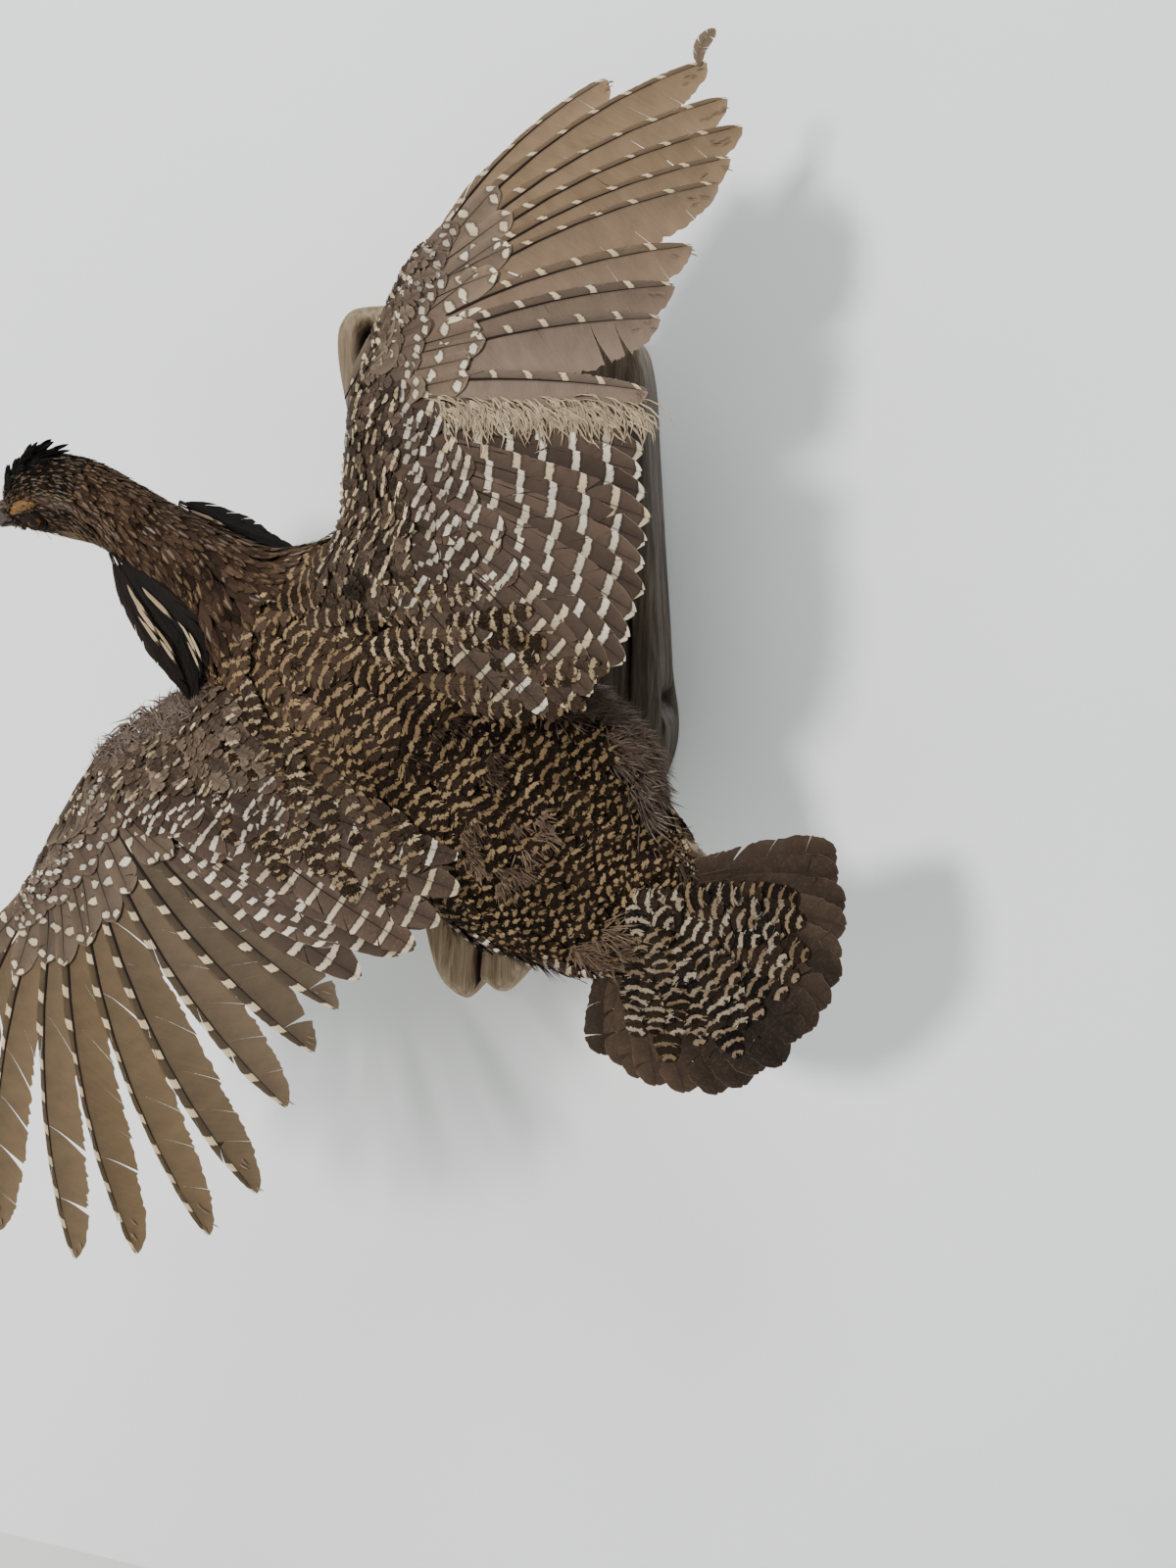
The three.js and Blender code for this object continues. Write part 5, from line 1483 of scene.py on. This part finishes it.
def tube_points(path, radii, sides, rings, up, flat=1.0):
    """Rings of points round a smooth path, with its radii."""
    path = np.asarray(path, float)
    t = np.linspace(0, len(path) - 1, rings)
    centre = spline(path, t)
    radius = np.interp(t, np.linspace(0, len(path) - 1, len(radii)), radii)
    tangent = unit(np.gradient(centre, axis=0))
    high = unit(up - tangent * (tangent @ up)[:, None])
    side = np.cross(high, tangent)
    turn = (np.arange(sides) * 2 * np.pi / sides)[:, None]
    around = side[:, None] * np.cos(turn) + high[:, None] * flat * np.sin(turn)
    return centre[:, None] + radius[:, None, None] * around, centre, side, high


def loft(points):
    """A closed mesh from rings of points (rings, sides, 3), with a fan over each end."""
    rings, sides = points.shape[:2]
    xyz = np.concatenate([points.reshape(-1, 3), points[0].mean(0)[None], points[-1].mean(0)[None]])
    j, k = np.meshgrid(np.arange(rings - 1), np.arange(sides), indexing="ij")
    k2 = (k + 1) % sides
    quads = np.stack([j * sides + k, (j + 1) * sides + k, (j + 1) * sides + k2, j * sides + k2],
                     -1).reshape(-1, 4)
    k, k2, top = k[0], k2[0], (rings - 1) * sides
    caps = np.concatenate([np.stack([np.full(sides, rings * sides), k, k2], -1),
                           np.stack([np.full(sides, rings * sides + 1), top + k2, top + k], -1)])
    return xyz, quads, caps


def gather(*meshes):
    """One mesh from several of (points, quads, triangles)."""
    first = np.cumsum([0] + [len(points) for points, _, _ in meshes])
    xyz, quads, tris = zip(*((points, four + k, three + k) for (points, four, three),
                             k in zip(meshes, first)))
    return np.concatenate(xyz), np.concatenate(quads), np.concatenate(tris)


def leg_feathers():
    coat = Coat()
    count, rings = 150, 41
    for sign in (-1, 1):
        place = 0.15 + 0.8 * rng.random(count)
        around = 2 * np.pi * rng.random(count)
        _, centre, side, high = tube_points(LEG_PATH + leg_offset(sign), LEG_RADII, 8, rings, BELOW)
        length = 13 * (1 + 0.2 * rng.standard_normal(count)) * lerp(1, 0.6, place)
        total = np.linalg.norm(np.diff(centre, axis=0), axis=1).sum()
        at = place[:, None] + np.linspace(0, 1, STEPS) * (length / total)[:, None]
        ring = np.clip(at, 0, 1) * (rings - 1)
        i = np.minimum(ring.astype(int), rings - 2)
        over = np.maximum(at - 1, 0)[..., None] * total * unit(centre[-1] - centre[-3])
        middle, aside, above = (lerp(v[i], v[i + 1], (ring - i)[..., None]) for v in (centre, side, high))
        normal = aside * np.cos(around)[:, None, None] + above * np.sin(around)[:, None, None]
        radius = np.interp(at, np.linspace(0, 1, 3), LEG_RADII)[..., None]
        spine = finish_spine(middle + normal * radius + over, normal, 8)
        looks = look(count, drawn(BROWN, DARK_BUFF, count), DARK_BROWN, period=5, duty=0.3)
        coat.add(spine, length, length * 0.2, looks, lines=3, root_height=-2.0, tip_height=0.4, ragged=0.3,
                 taper=0.5, lift=rng.random(count), camber=0.3, thick=0.12)
    return coat


ANKLE = (92, -93, -107)
SHANK = ((81, -88.4, -99.6), (87, -91, -103.6), (95, -95, -109))
TOE = (ANKLE, (106, -99, -116), (118, -99, -123), (125, -95.5, -127))
TOE_CLAW = ((123.5, -96.3, -126.2), (128, -94.5, -128.6), (130, -90.5, -130.5))
HIND_TOE = (ANKLE, (94, -86, -110), (98, -82, -112.4))
HIND_CLAW = ((97.4, -82.6, -112), (99.4, -80.4, -113.4), (100.6, -77, -115))
TOE_SPREAD = 6


def foot_mesh():
    """Both feet: toes with scutes on top, pads below and curved claws."""
    toes, claws = [], []
    for sign in (-1, 1):
        parts = [(SHANK, (3.3, 3.0, 2.7), 0)]
        parts += [(TOE, (2.8, 2.3, 1.9, 1.2), k) for k in (-1, 0, 1)]
        parts += [(HIND_TOE, (2.2, 1.7, 1.0), 0)]
        for path, radii, k in parts:
            path = np.array(path, float) + leg_offset(sign)
            path[1:] += LEG_ACROSS * TOE_SPREAD * k
            rings = 14 * len(path)
            points, centre, _, _ = tube_points(path, radii, 18, rings, BELOW)
            scute = 1 + 0.09 * np.abs(np.sin(np.arange(rings) * np.pi / 4.5))[:, None, None]
            ends = np.clip(np.minimum(np.arange(rings), rings - 1 - np.arange(rings)) / 3, 0.35, 1)[:, None,
                                                                                                    None]
            toes.append(loft(centre[:, None] + (points - centre[:, None]) * scute * ends ** 0.5))
        parts = [(TOE_CLAW, (1.15, 0.9, 0.12), k) for k in (-1, 0, 1)] + [(HIND_CLAW, (0.95, 0.7, 0.12), 0)]
        for path, radii, k in parts:
            path = np.array(path, float) + leg_offset(sign) + LEG_ACROSS * TOE_SPREAD * k
            claws.append(loft(tube_points(path, radii, 12, 16, BELOW, 1.25)[0]))
    return gather(*toes), gather(*claws)


# ---------------------------------------------------------------- skin
WING_ROOT = np.array([-40.0, -118, -22])     # inside the trunk, where both wings' bones meet


def skin():
    """The bird's flesh as one closed mesh: trunk, neck, head, wing bones and thighs, joined by remeshing."""
    t, angle = np.meshgrid(np.linspace(0, LAST, 220), np.arange(96) * 2 * np.pi / 96, indexing="ij")
    coat_depth = table((0, 3.5), (1, 5.5), (7.5, 5.5), (9, 3.4), (12, 2.0), (14, 1.3), (16, 0.9))(t)
    body = body_point(t, angle, coat_depth)
    where = in_head(body)
    socket = from_eye(where)
    near_eye = np.exp(-(socket / 4.5) ** 2) * (np.abs(where[..., 1]) > 4)
    body = body + head_axes()[1] * (-np.sign(where[..., 1]) * 1.1 * near_eye)[..., None]
    parts = [loft(body)]
    for wing in WINGS.values():
        bones = np.array(wing["bones"], float)
        path = np.stack([bones[:, 0], -wing_depth(wing)(bones[:, 0], bones[:, 1]), bones[:, 1]], -1)
        inner = lerp(path[0], WING_ROOT, 0.35)
        points, *_ = tube_points(np.concatenate([[inner], path]), (11, 8, 6.5, 5.5, 3.5), 24, 60, -BELOW,
                                 0.62)
        parts += [loft(points), membrane(wing)]
    for sign in (-1, 1):
        points, *_ = tube_points(LEG_PATH + leg_offset(sign), np.array(LEG_RADII) - 1.2, 24, 24, BELOW)
        parts.append(loft(points))
    rough = new_object("skin_parts", gather(*parts))
    remesh = rough.modifiers.new("join", "REMESH")
    remesh.mode = "VOXEL"
    remesh.voxel_size = 1.5 * MM
    relax = rough.modifiers.new("relax", "SMOOTH")
    relax.factor, relax.iterations = 0.5, 3
    bpy.context.view_layer.update()
    mesh = bpy.data.meshes.new_from_object(rough.evaluated_get(bpy.context.evaluated_depsgraph_get()))
    bpy.data.objects.remove(rough)
    mesh.shade_smooth()
    return link("skin", mesh)


def membrane(wing):
    """The fold of skin between the wing's leading edge and its quill roots."""
    roots, tips, _ = quills(wing)
    count, deep, half, past_roots = 40, 12, 1.1, 6
    u = np.linspace(0, 1, count)
    edge = along(wing["edge"], edge_share(u, WRIST_AT / LAST_QUILL, 1))
    quill = along(roots, u) + past_roots * unit(along(tips, u) - along(roots, u))
    flat = lerp(edge[:, None], quill[:, None], np.linspace(0.06, 1.0, deep)[None, :, None])
    depth = wing_depth(wing)(flat[..., 0], flat[..., 1])
    front, rear = (np.stack([flat[..., 0], -depth + move, flat[..., 1]], -1) for move in (-half, half))
    rings = np.concatenate([front, rear[:, ::-1]], 1)
    return loft(rings[:, ::-1] if wing["lead"] < 0 else rings)


# ---------------------------------------------------------------- head details
def ball(rings, sides, gap):
    """Angles from a pole, down to gap from both, and round it, for a ball's rings and sides."""
    return np.linspace(gap, np.pi - gap, rings)[:, None], np.arange(sides)[None, :] * 2 * np.pi / sides


def named(name, sign):
    return name + ("_left" if sign > 0 else "_right")


def eye(sign):
    """An eyeball with a bulging cornea. gaze holds each point's distance from the optical axis."""
    polar, turn = ball(49, 64, 0.02)
    bulge = EYE_RADIUS + 0.35 * np.exp(-(polar / 0.5) ** 2)
    from_axis = bulge * np.sin(polar)
    local = np.broadcast_arrays(from_axis * np.cos(turn), sign * bulge * np.cos(polar),
                                from_axis * np.sin(turn))
    ahead, side, up = EYE_AT
    points = on_head(local[0] + ahead, local[1] + sign * side, local[2] + up)
    piece = new_object(named("eyeball", sign), loft(points[:, ::-sign]))
    gaze = np.broadcast_to(np.where(polar > np.pi / 2, EYE_RADIUS, from_axis), points.shape[:2])
    give(piece.data, "gaze", "FLOAT", np.concatenate([gaze.ravel(), [0, EYE_RADIUS]]))
    return piece


def lids():
    """Wrinkled skin over both eyes, with a low almond opening under a heavy upper lid."""
    meshes = []
    sides, over = 80, 16
    opening_half, upper, lower, almond = 3.6, 1.9, 2.6, 1.7
    reach, ball_radius = 5.6, 5.4
    around = np.arange(sides) * 2 * np.pi / sides
    ahead, rise = np.cos(around), np.sin(around)
    height = np.where(rise > 0, upper, lower)
    opening = 1 / ((np.abs(ahead) / opening_half) ** almond
                   + (np.abs(rise) / height) ** almond) ** (1 / almond)
    share = np.concatenate([np.linspace(0, 1, over), [0.9, 0.45, 0.0]])[:, None]
    folds = 0.14 * np.sin(share * 19 + 1.5 * np.sin(2 * around)) * np.sin(np.pi * np.clip(share, 0, 1))
    folds = folds + 0.05 * np.sin(31 * around + 9 * share) * share
    under = np.arange(len(share))[:, None] >= over
    r = lerp(opening, reach, share)
    rolled_edge = 0.14 * np.exp(-(share / 0.09) ** 2)
    out = np.sqrt(np.maximum(ball_radius ** 2 - (0.9 * r) ** 2, 0.2)) + folds + rolled_edge
    out = np.where(under, out - 0.5 - 0.6 * share, out)
    rings = len(share)
    j, k = np.meshgrid(np.arange(rings), np.arange(sides), indexing="ij")
    j2, k2 = (j + 1) % rings, (k + 1) % sides
    quads = np.stack([j * sides + k, j2 * sides + k, j2 * sides + k2, j * sides + k2], -1).reshape(-1, 4)
    for sign in (1, -1):
        points = on_head(EYE_AT[0] + r * ahead, sign * (EYE_AT[1] + out), EYE_AT[2] + r * rise * 0.97)
        meshes.append((points.reshape(-1, 3), quads[:, ::sign], np.zeros((0, 3), int)))
    return gather(*meshes)


def comb(sign):
    """The yellow brow: a fleshy ridge covered with small papillae."""
    half_length, half_depth, half_height, aside = 6.6, 2.2, 2.4, 11.4
    polar, turn = ball(70, 44, 0.03)
    local = np.stack(np.broadcast_arrays(np.cos(polar), np.sin(polar) * np.cos(turn),
                                         np.sin(polar) * np.sin(turn)), -1)
    local = local * np.array([half_length, half_depth, half_height])
    local[..., 2] += 0.35 * np.cos(local[..., 0] * 0.42) - 0.06 * local[..., 0] ** 2 / 4
    local = local * (1 + 0.3 * (noise(local, 0.75, 5) - 0.5)[..., None])
    points = on_head(EYE_AT[0] + local[..., 0], sign * (aside + local[..., 1]),
                     EYE_AT[2] + COMB_RISE + local[..., 2])
    return new_object(named("brow", sign), loft(points[:, ::sign]))


BILL = {   # each section's place forward and up from the head's centre, and its half width and height
    "upper": (((17, 0.2), (20, 0.3), (25, 0.6), (29, 0.3), (32, -0.9), (35, -3.0), (36.7, -5.0)),
              ((5.4, 5.2), (5.0, 4.9), (4.4, 4.4), (3.6, 3.8), (2.7, 3.0), (1.5, 1.8), (0.35, 0.5))),
    "lower": (((16, -4.3), (20, -4.4), (25, -4.6), (29, -4.9), (32, -5.3)),
              ((4.2, 2.9), (3.9, 2.6), (3.2, 2.1), (2.2, 1.4), (0.7, 0.45)))}
NOSTRIL_AT = 23.0


def bill_half(part):
    """One half of the bill: a ridge on top, hooked tip and sharp cutting edges."""
    upper = part == "upper"
    rows, half = (np.array(v, float) for v in BILL[part])
    t = np.linspace(0, len(rows) - 1, 44)
    centre, size = spline(rows, t), spline(half, t)
    turn = np.arange(40) * 2 * np.pi / 40
    across, high = np.sign(np.cos(turn)) * np.abs(np.cos(turn)) ** 0.9, np.sin(turn)
    side = size[:, :1] * across
    forward = np.broadcast_to(centre[:, :1], side.shape)
    closing = -4.1 - 0.012 * np.clip(centre[:, :1] - 22, 0, None) ** 2      # where the two halves meet
    inner = np.abs(high) * (closing - centre[:, 1:]) + (0.08 if upper else -0.08)
    up = centre[:, 1:] + np.where(high < 0 if upper else high > 0, inner, size[:, 1:] * high)
    if upper:                                      # the nostril's hollow, half hidden by feathers
        hole = np.exp(-((forward - NOSTRIL_AT) / 2.2) ** 2 - ((up - centre[:, 1:] - 1.2) / 1.1) ** 2)
        side = side * (1 - 0.3 * hole)
        up = up + 0.12 * np.sin(forward * 2.1) * (high > 0.5)
    return loft(on_head(forward, side, up)[:, ::-1])


# ---------------------------------------------------------------- driftwood
def board_radius(direction):
    """The outline's corners as a smooth closed curve, sampled by direction from the middle."""
    steps = 12
    rows = np.concatenate([BOARD_OUTLINE[-1:], BOARD_OUTLINE, BOARD_OUTLINE[:2]])
    t = np.arange(len(BOARD_OUTLINE) * steps) / steps + 1
    curve = spline(rows, t) - BOARD_MIDDLE
    angle = np.arctan2(curve[:, 1], curve[:, 0])
    order = np.argsort(angle)
    return np.interp(direction, angle[order], np.hypot(*curve[order].T), period=2 * np.pi)


CRACKS = (   # x and z at the top and bottom, width, depth
    ((64, 150), (70, -60), 1.6, 8), ((-86, 120), (-58, -40), 1.4, 6), ((-25, -150), (-23, -198), 1.6, 16),
    ((18, 150), (26, 20), 1.1, 5), ((-52, 153), (-44, 60), 1.0, 5), ((48, 60), (52, -60), 1.2, 6),
    ((-34, -60), (-42, -185), 1.5, 4), ((2, 40), (8, -120), 1.0, 4), ((-70, 60), (-52, -90), 1.0, 4))


HOLLOW_AT, HOLLOW_HALF = (-84, 131), (9, 19)
LOBES_PART_AT = -22


def driftwood():
    """The weathered slab: vertical grain, cracks, a hollow at its top left and two lobes at its foot."""
    sides, edge_round = 620, 10
    turn = np.arange(sides) * 2 * np.pi / sides
    arc = np.linspace(0, np.pi / 2, 12)[1:]
    layers = [(0.0, 1.5), (0.6, 0.3)] + [(y, 0.0) for y in np.linspace(2, 27, 14)]
    layers += [(BOARD_DEPTH - edge_round + edge_round * np.sin(a), edge_round * (1 - np.cos(a))) for a in arc]
    y, inset = (np.array(v)[:, None] for v in zip(*layers))
    face = np.linspace(1, 0.02, 84)[1:, None]
    reach = board_radius(turn)[None, :] - inset
    reach = np.concatenate([reach, reach[-1:] * face])
    y = np.repeat(np.concatenate([y, np.full(face.shape, float(BOARD_DEPTH))]), sides, 1)
    x, z = BOARD_MIDDLE[0] + reach * np.cos(turn), BOARD_MIDDLE[1] + reach * np.sin(turn)
    p = np.stack([x, y, z], -1)
    from_back = smooth(0.5, 6, y)

    lean = p + np.stack([0.16 * z, 0 * z, 0 * z], -1)
    grain = noise(lean, (5, 5, 90), 1) + 0.5 * noise(lean, (2.2, 2.2, 60), 2) + 0.25 * noise(lean, (1, 1, 30),
                                                                                             3)
    drop = 1.6 * (0.9 - grain) + 3.0 * (noise(p, (40, 30, 70), 4) - 0.5)
    sway = 2.2 * (noise(np.stack([0 * z, 0 * z, z], -1), 26, 7) - 0.5) * 2
    for (x0, z0), (x1, z1), wide, deep in CRACKS:
        s = np.clip((z - z0) / (z1 - z0), 0, 1)
        to_foot = z1 < -190
        ends = smooth(0, 0.3, s) if to_foot else smooth(0, 0.12, s) * smooth(1, 0.85, s)
        middle = lerp(x0, x1, s) + sway
        drop = drop + deep * ends * np.exp(-((x - middle) / wide) ** 2)
    hollow = np.hypot((x - HOLLOW_AT[0]) / HOLLOW_HALF[0], (z - HOLLOW_AT[1]) / HOLLOW_HALF[1])
    drop = drop + 15 * smooth(1.0, 0.45, hollow) * (0.7 + 0.6 * noise(p, (3, 5, 9), 9))
    drop = drop - 2.0 * np.exp(-(hollow - 1.3) ** 2 * 9)
    inward = np.stack([BOARD_MIDDLE[0] - x, 0 * y, BOARD_MIDDLE[1] - z], -1) / np.maximum(reach, 1)[..., None]
    front = smooth(BOARD_DEPTH - 10, BOARD_DEPTH - 1, y)[..., None]
    move = -BELOW * front + inward * (1 - front) * 0.8
    p = p + move * (np.maximum(drop, -0.5) * from_back)[..., None]
    p[..., 1] = -np.clip(p[..., 1], 0, None)
    p[..., 2] += 5.5 * np.exp(-((x - LOBES_PART_AT) / 4.5) ** 2) * smooth(-170, -194, z) * from_back
    piece = new_object("driftwood", loft(p))
    give(piece.data, "pit", "FLOAT", np.concatenate([(drop * from_back).ravel(), [0, 0]]))
    return piece


# ---------------------------------------------------------------- other materials
def wood_material():
    m = Shader("weathered_wood")
    grain = m.noise(m.place((1, 1, 0.06)), 420, 6, 0.62, 0.4)
    broad = m.noise(m.place((1, 1, 0.12)), 60, 4, 0.6, 0.6)
    patches = m.noise(m.place(), 11, 3)
    pit = m.attribute("pit", "Fac")
    sideways, _, height = m.split(m.place())
    grey = m.ramp(grain, (0.25, (0.050, 0.038, 0.030)), (0.5, (0.135, 0.105, 0.082)),
                  (0.72, (0.235, 0.195, 0.155)))
    tan = m.ramp(grain, (0.25, (0.085, 0.056, 0.032)), (0.5, (0.205, 0.150, 0.092)),
                 (0.75, (0.330, 0.265, 0.180)))
    warm = m.math("MAXIMUM", m.step(-0.11, -0.16, height), m.step(0.10, 0.15, height))
    warm = m.math("ADD", warm * 0.8, m.step(0.5, 0.7, patches) * 0.35, clamp=True)
    colour = m.lighter(m.mix(warm, grey, tan), 0.7 + broad * 0.6)
    # Painted shadow: the board is painted darker right of its middle and below 0.16 m, where the bird's wing
    # and body shade it.
    painted_bird_shadow = m.step(-0.01, 0.035, sideways) * m.step(0.16, 0.11, height)
    colour = m.lighter(colour, 1.0 - painted_bird_shadow * 0.5)
    colour = m.lighter(colour, 1.0 + m.step(-0.14, -0.18, height) * 0.35)
    # Painted shade: the deep cracks and the hollow are painted nearly black, by how deep they are.
    colour = m.mix(m.step(2.5, 8.0, pit) * 0.93, colour, (0.010, 0.007, 0.005))
    m.bump(grain + broad * 1.5, 0.7, 0.9)
    return m.finish(colour, Roughness=0.82, Specular_IOR_Level=0.2)


def steel_material():
    m = Shader("brushed_steel")
    streaks = m.noise(m.place((1, 0.05, 1)), 1800, 3)
    colour = m.ramp(streaks, (0.3, (0.28, 0.27, 0.26)), (0.7, (0.46, 0.45, 0.43)))
    m.bump(streaks, 0.2, 0.1)
    return m.finish(colour, Roughness=0.34, Metallic=1.0)


def skin_material():
    m = Shader("skin")
    pores = m.noise(m.place(), 900, 4)
    colour = m.ramp(m.noise(m.place(), 60, 3), (0.3, (0.060, 0.040, 0.028)), (0.7, (0.110, 0.075, 0.052)))
    m.bump(pores, 0.4, 0.3)
    return m.finish(colour, Roughness=0.7, Specular_IOR_Level=0.25)


def lid_material():
    m = Shader("eyelid_skin")
    fine = m.noise(m.place(), 1500, 3)
    colour = m.ramp(fine, (0.3, (0.005, 0.003, 0.002)), (0.55, (0.014, 0.009, 0.006)),
                    (0.75, (0.040, 0.024, 0.013)))
    m.bump(fine, 0.5, 0.15)
    return m.finish(colour, Roughness=0.75, Specular_IOR_Level=0.12)


def eye_material():
    m = Shader("glass_eye")
    gaze = m.attribute("gaze", "Fac")
    flecks = m.noise(m.place(), 1900, 4)
    at = (gaze + (flecks - 0.5) * 0.45) / float(EYE_RADIUS)
    colour = m.ramp(at, (0.33, (0.002, 0.0015, 0.001)), (0.37, (0.050, 0.017, 0.005)),
                    (0.55, (0.170, 0.062, 0.013)), (0.68, (0.080, 0.028, 0.007)),
                    (0.76, (0.008, 0.005, 0.004)))
    return m.finish(colour, Roughness=0.3, Specular_IOR_Level=0.1, Coat_Weight=0.2, Coat_Roughness=0.03)


def comb_material():
    m = Shader("comb_skin")
    bumps = m.noise(m.place(), 1300, 3, 0.6)
    patches = m.noise(m.place(), 260, 2)
    colour = m.ramp(bumps, (0.3, (0.032, 0.014, 0.003)), (0.5, (0.125, 0.053, 0.004)),
                    (0.72, (0.260, 0.122, 0.012)))
    colour = m.mix(m.step(0.5, 0.75, patches) * 0.4, colour, (0.08, 0.042, 0.012))
    m.bump(bumps, 0.6, 0.35)
    return m.finish(colour, Roughness=0.5, Specular_IOR_Level=0.4, Subsurface_Weight=0.15)


def horn_material(name, light, dark, roughness):
    m = Shader(name)
    growth, fine = m.noise(m.place(), 380, 4, 0.6, 0.8), m.noise(m.place(), 2200, 3)
    colour = m.ramp(growth * 0.7 + fine * 0.3, (0.35, dark), (0.65, light))
    m.bump(growth, 0.35, 0.25)
    return m.finish(colour, Roughness=roughness, Specular_IOR_Level=0.4)


# ---------------------------------------------------------------- the model
def make_bird():
    soft = plumage("soft_feathers")
    sleek = plumage("sleek_black_feathers", roughness=0.62, gloss=0.1, barbs=0.12, blotch=0.3)
    flight = plumage("wing_feathers", roughness=0.65, gloss=0.12, shaft=(0.012, 0.007, 0.005), barbs=0.09,
                     blotch=0.24, wobble=0.13, fade=0.45)
    tail = plumage("tail_feathers", roughness=0.65, gloss=0.1, shaft=(0.060, 0.040, 0.025), barbs=0.14,
                   blotch=0.35, fade=0.5)

    attach(skin(), skin_material(),
           ("trunk", "neck", "head", "wing_left_arm", "wing_right_arm", "leg_left", "leg_right"))
    for name, feathers in (("plumage_trunk", trunk_feathers), ("plumage_neck", neck_feathers),
                           ("plumage_head", head_feathers), ("scapulars", scapulars), ("flank_down", fluff),
                           ("leg_feathers", leg_feathers)):
        feathers().build(name, soft, "body_plumage")
    crest_feathers().build("crown_crest", sleek, "dark_plumage", ("crest",))
    pinna_feathers().build("neck_pinnae", sleek, "dark_plumage", ("pinna_left", "pinna_right"))
    for side, wing in WINGS.items():
        flight_feathers(wing).build(f"flight_feathers_{side}", flight, "flight_feather",
                                    (f"wing_{side}_forearm", f"wing_{side}_hand"))
        for name, feathers in (("upper_coverts", upper_coverts), ("alula", alula),
                               ("under_coverts", under_coverts)):
            feathers(wing).build(f"{name}_{side}", flight, "flight_feather")
    tail_feathers().build("rectrices", tail, "tail_feather", ("tail",))
    tail_coverts().build("tail_coverts", soft, "body_plumage")

    glass, comb_skin = eye_material(), comb_material()
    for side, sign in (("left", 1), ("right", -1)):
        attach(eye(sign), glass, (f"eye_{side}",))
        attach(comb(sign), comb_skin, (f"comb_{side}",))
    attach(new_object("eyelids", lids()), lid_material())
    horn = horn_material("bill_horn", (0.075, 0.051, 0.034), (0.024, 0.016, 0.012), 0.55)
    for name, part in (("bill_top", "upper"), ("bill_base", "lower")):
        attach(new_object(name, bill_half(part)), horn, ("bill_" + part,))
    toes, claws = foot_mesh()
    scales = horn_material("toe_scales", (0.150, 0.102, 0.055), (0.070, 0.046, 0.026), 0.6)
    attach(new_object("toes", toes), scales, ("foot_left", "foot_right"))
    claw_horn = horn_material("claw_horn", (0.060, 0.044, 0.034), (0.018, 0.013, 0.010), 0.35)
    attach(new_object("claws", claws), claw_horn)


def make_mount():
    attach(driftwood(), wood_material(), ("driftwood_board",))
    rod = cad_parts["mount_rod"]
    rod.data.materials.clear()
    rod.data.materials.append(steel_material())


# ---------------------------------------------------------------- camera, lights and stage
def camera_axes():
    yaw, pitch, roll = (math.radians(v) for v in (CAMERA_YAW, CAMERA_PITCH, CAMERA_ROLL))
    forward = np.array([-math.sin(yaw) * math.cos(pitch), math.cos(yaw) * math.cos(pitch), -math.sin(pitch)])
    level = np.array([math.cos(yaw), math.sin(yaw), 0])
    upright = np.cross(level, forward)
    right = level * math.cos(roll) + upright * math.sin(roll)
    return forward, right, np.cross(right, forward)


def make_camera():
    forward, right, up = camera_axes()
    data = bpy.data.cameras.new("camera")
    data.lens, data.sensor_width, data.sensor_fit = CAMERA_LENS, 36, "AUTO"
    data.clip_start = 0.01
    camera = link("camera", data)
    camera.matrix_world = Matrix([[right[k], up[k], -forward[k], CAMERA_AT[k] * MM] for k in range(3)]
                                 + [[0, 0, 0, 1]])
    bpy.context.scene.camera = camera


def area_light(name, at, target, size, power, colour):
    data = bpy.data.lights.new(name, "AREA")
    data.shape, data.size, data.energy, data.color = "DISK", size, power, colour
    z = unit(np.array(at, float) - np.array(target, float))
    x = unit(np.cross([0, 0, 1.0], z))
    y = np.cross(z, x)
    light = link(name, data)
    light.matrix_world = Matrix([[x[k], y[k], z[k], at[k]] for k in range(3)] + [[0, 0, 0, 1]])


def make_lights():
    area_light("key", (-1.05, -2.6, 0.55), (0, 0, 0), 0.45, 80, (1.0, 0.98, 0.95))
    area_light("overhead", (0.2, -1.2, 2.2), (0, 0, 0), 1.1, 42, (0.95, 0.98, 1.0))
    area_light("rear", (0.8, 1.8, 1.2), (0, 0, 0), 1.2, 26, (1.0, 1.0, 1.0))
    world = bpy.data.worlds.new("studio")
    bpy.context.scene.world = world
    world.use_nodes = True
    world.node_tree.nodes["Background"].inputs[0].default_value = (0.90, 0.94, 1.0, 1)
    world.node_tree.nodes["Background"].inputs[1].default_value = 0.34


def stage_plane(name, corners, scale, low, high):
    """A matt painted plane that can be seen through from behind."""
    piece = new_object(name, (np.array(corners, float), np.array([[0, 1, 2, 3]])))
    m = Shader(name + "_paint")
    m.finish(m.ramp(m.noise(m.place(), scale, 4), (0.3, low), (0.7, high)), Roughness=0.9,
             Specular_IOR_Level=0.1)
    clear, behind = m.node("BsdfTransparent", {}), m.node("NewGeometry", {}, "Backfacing")
    paint = Wire(m, m.bsdf.outputs[0])
    m.put(m.output.inputs["Surface"], m.node("MixShader", {0: behind, 1: paint, 2: clear}))
    piece.data.materials.append(m.material)
    return piece


def make_stage():
    wide, foot, wall_y = 2500, -620, 1.5
    wall = stage_plane("backdrop", ((-wide, wall_y, foot), (wide, wall_y, foot), (wide, wall_y, wide),
                                    (-wide, wall_y, wide)), 3, (0.80, 0.83, 0.82), (0.84, 0.87, 0.86))
    floor = stage_plane("floor", ((-wide, -3500, foot), (wide, -3500, foot), (wide, wide, foot),
                                  (-wide, wide, foot)), 4, (0.66, 0.66, 0.64), (0.71, 0.71, 0.69))
    wall.visible_shadow = False


make_camera()
make_bird()
make_mount()
make_lights()
make_stage()
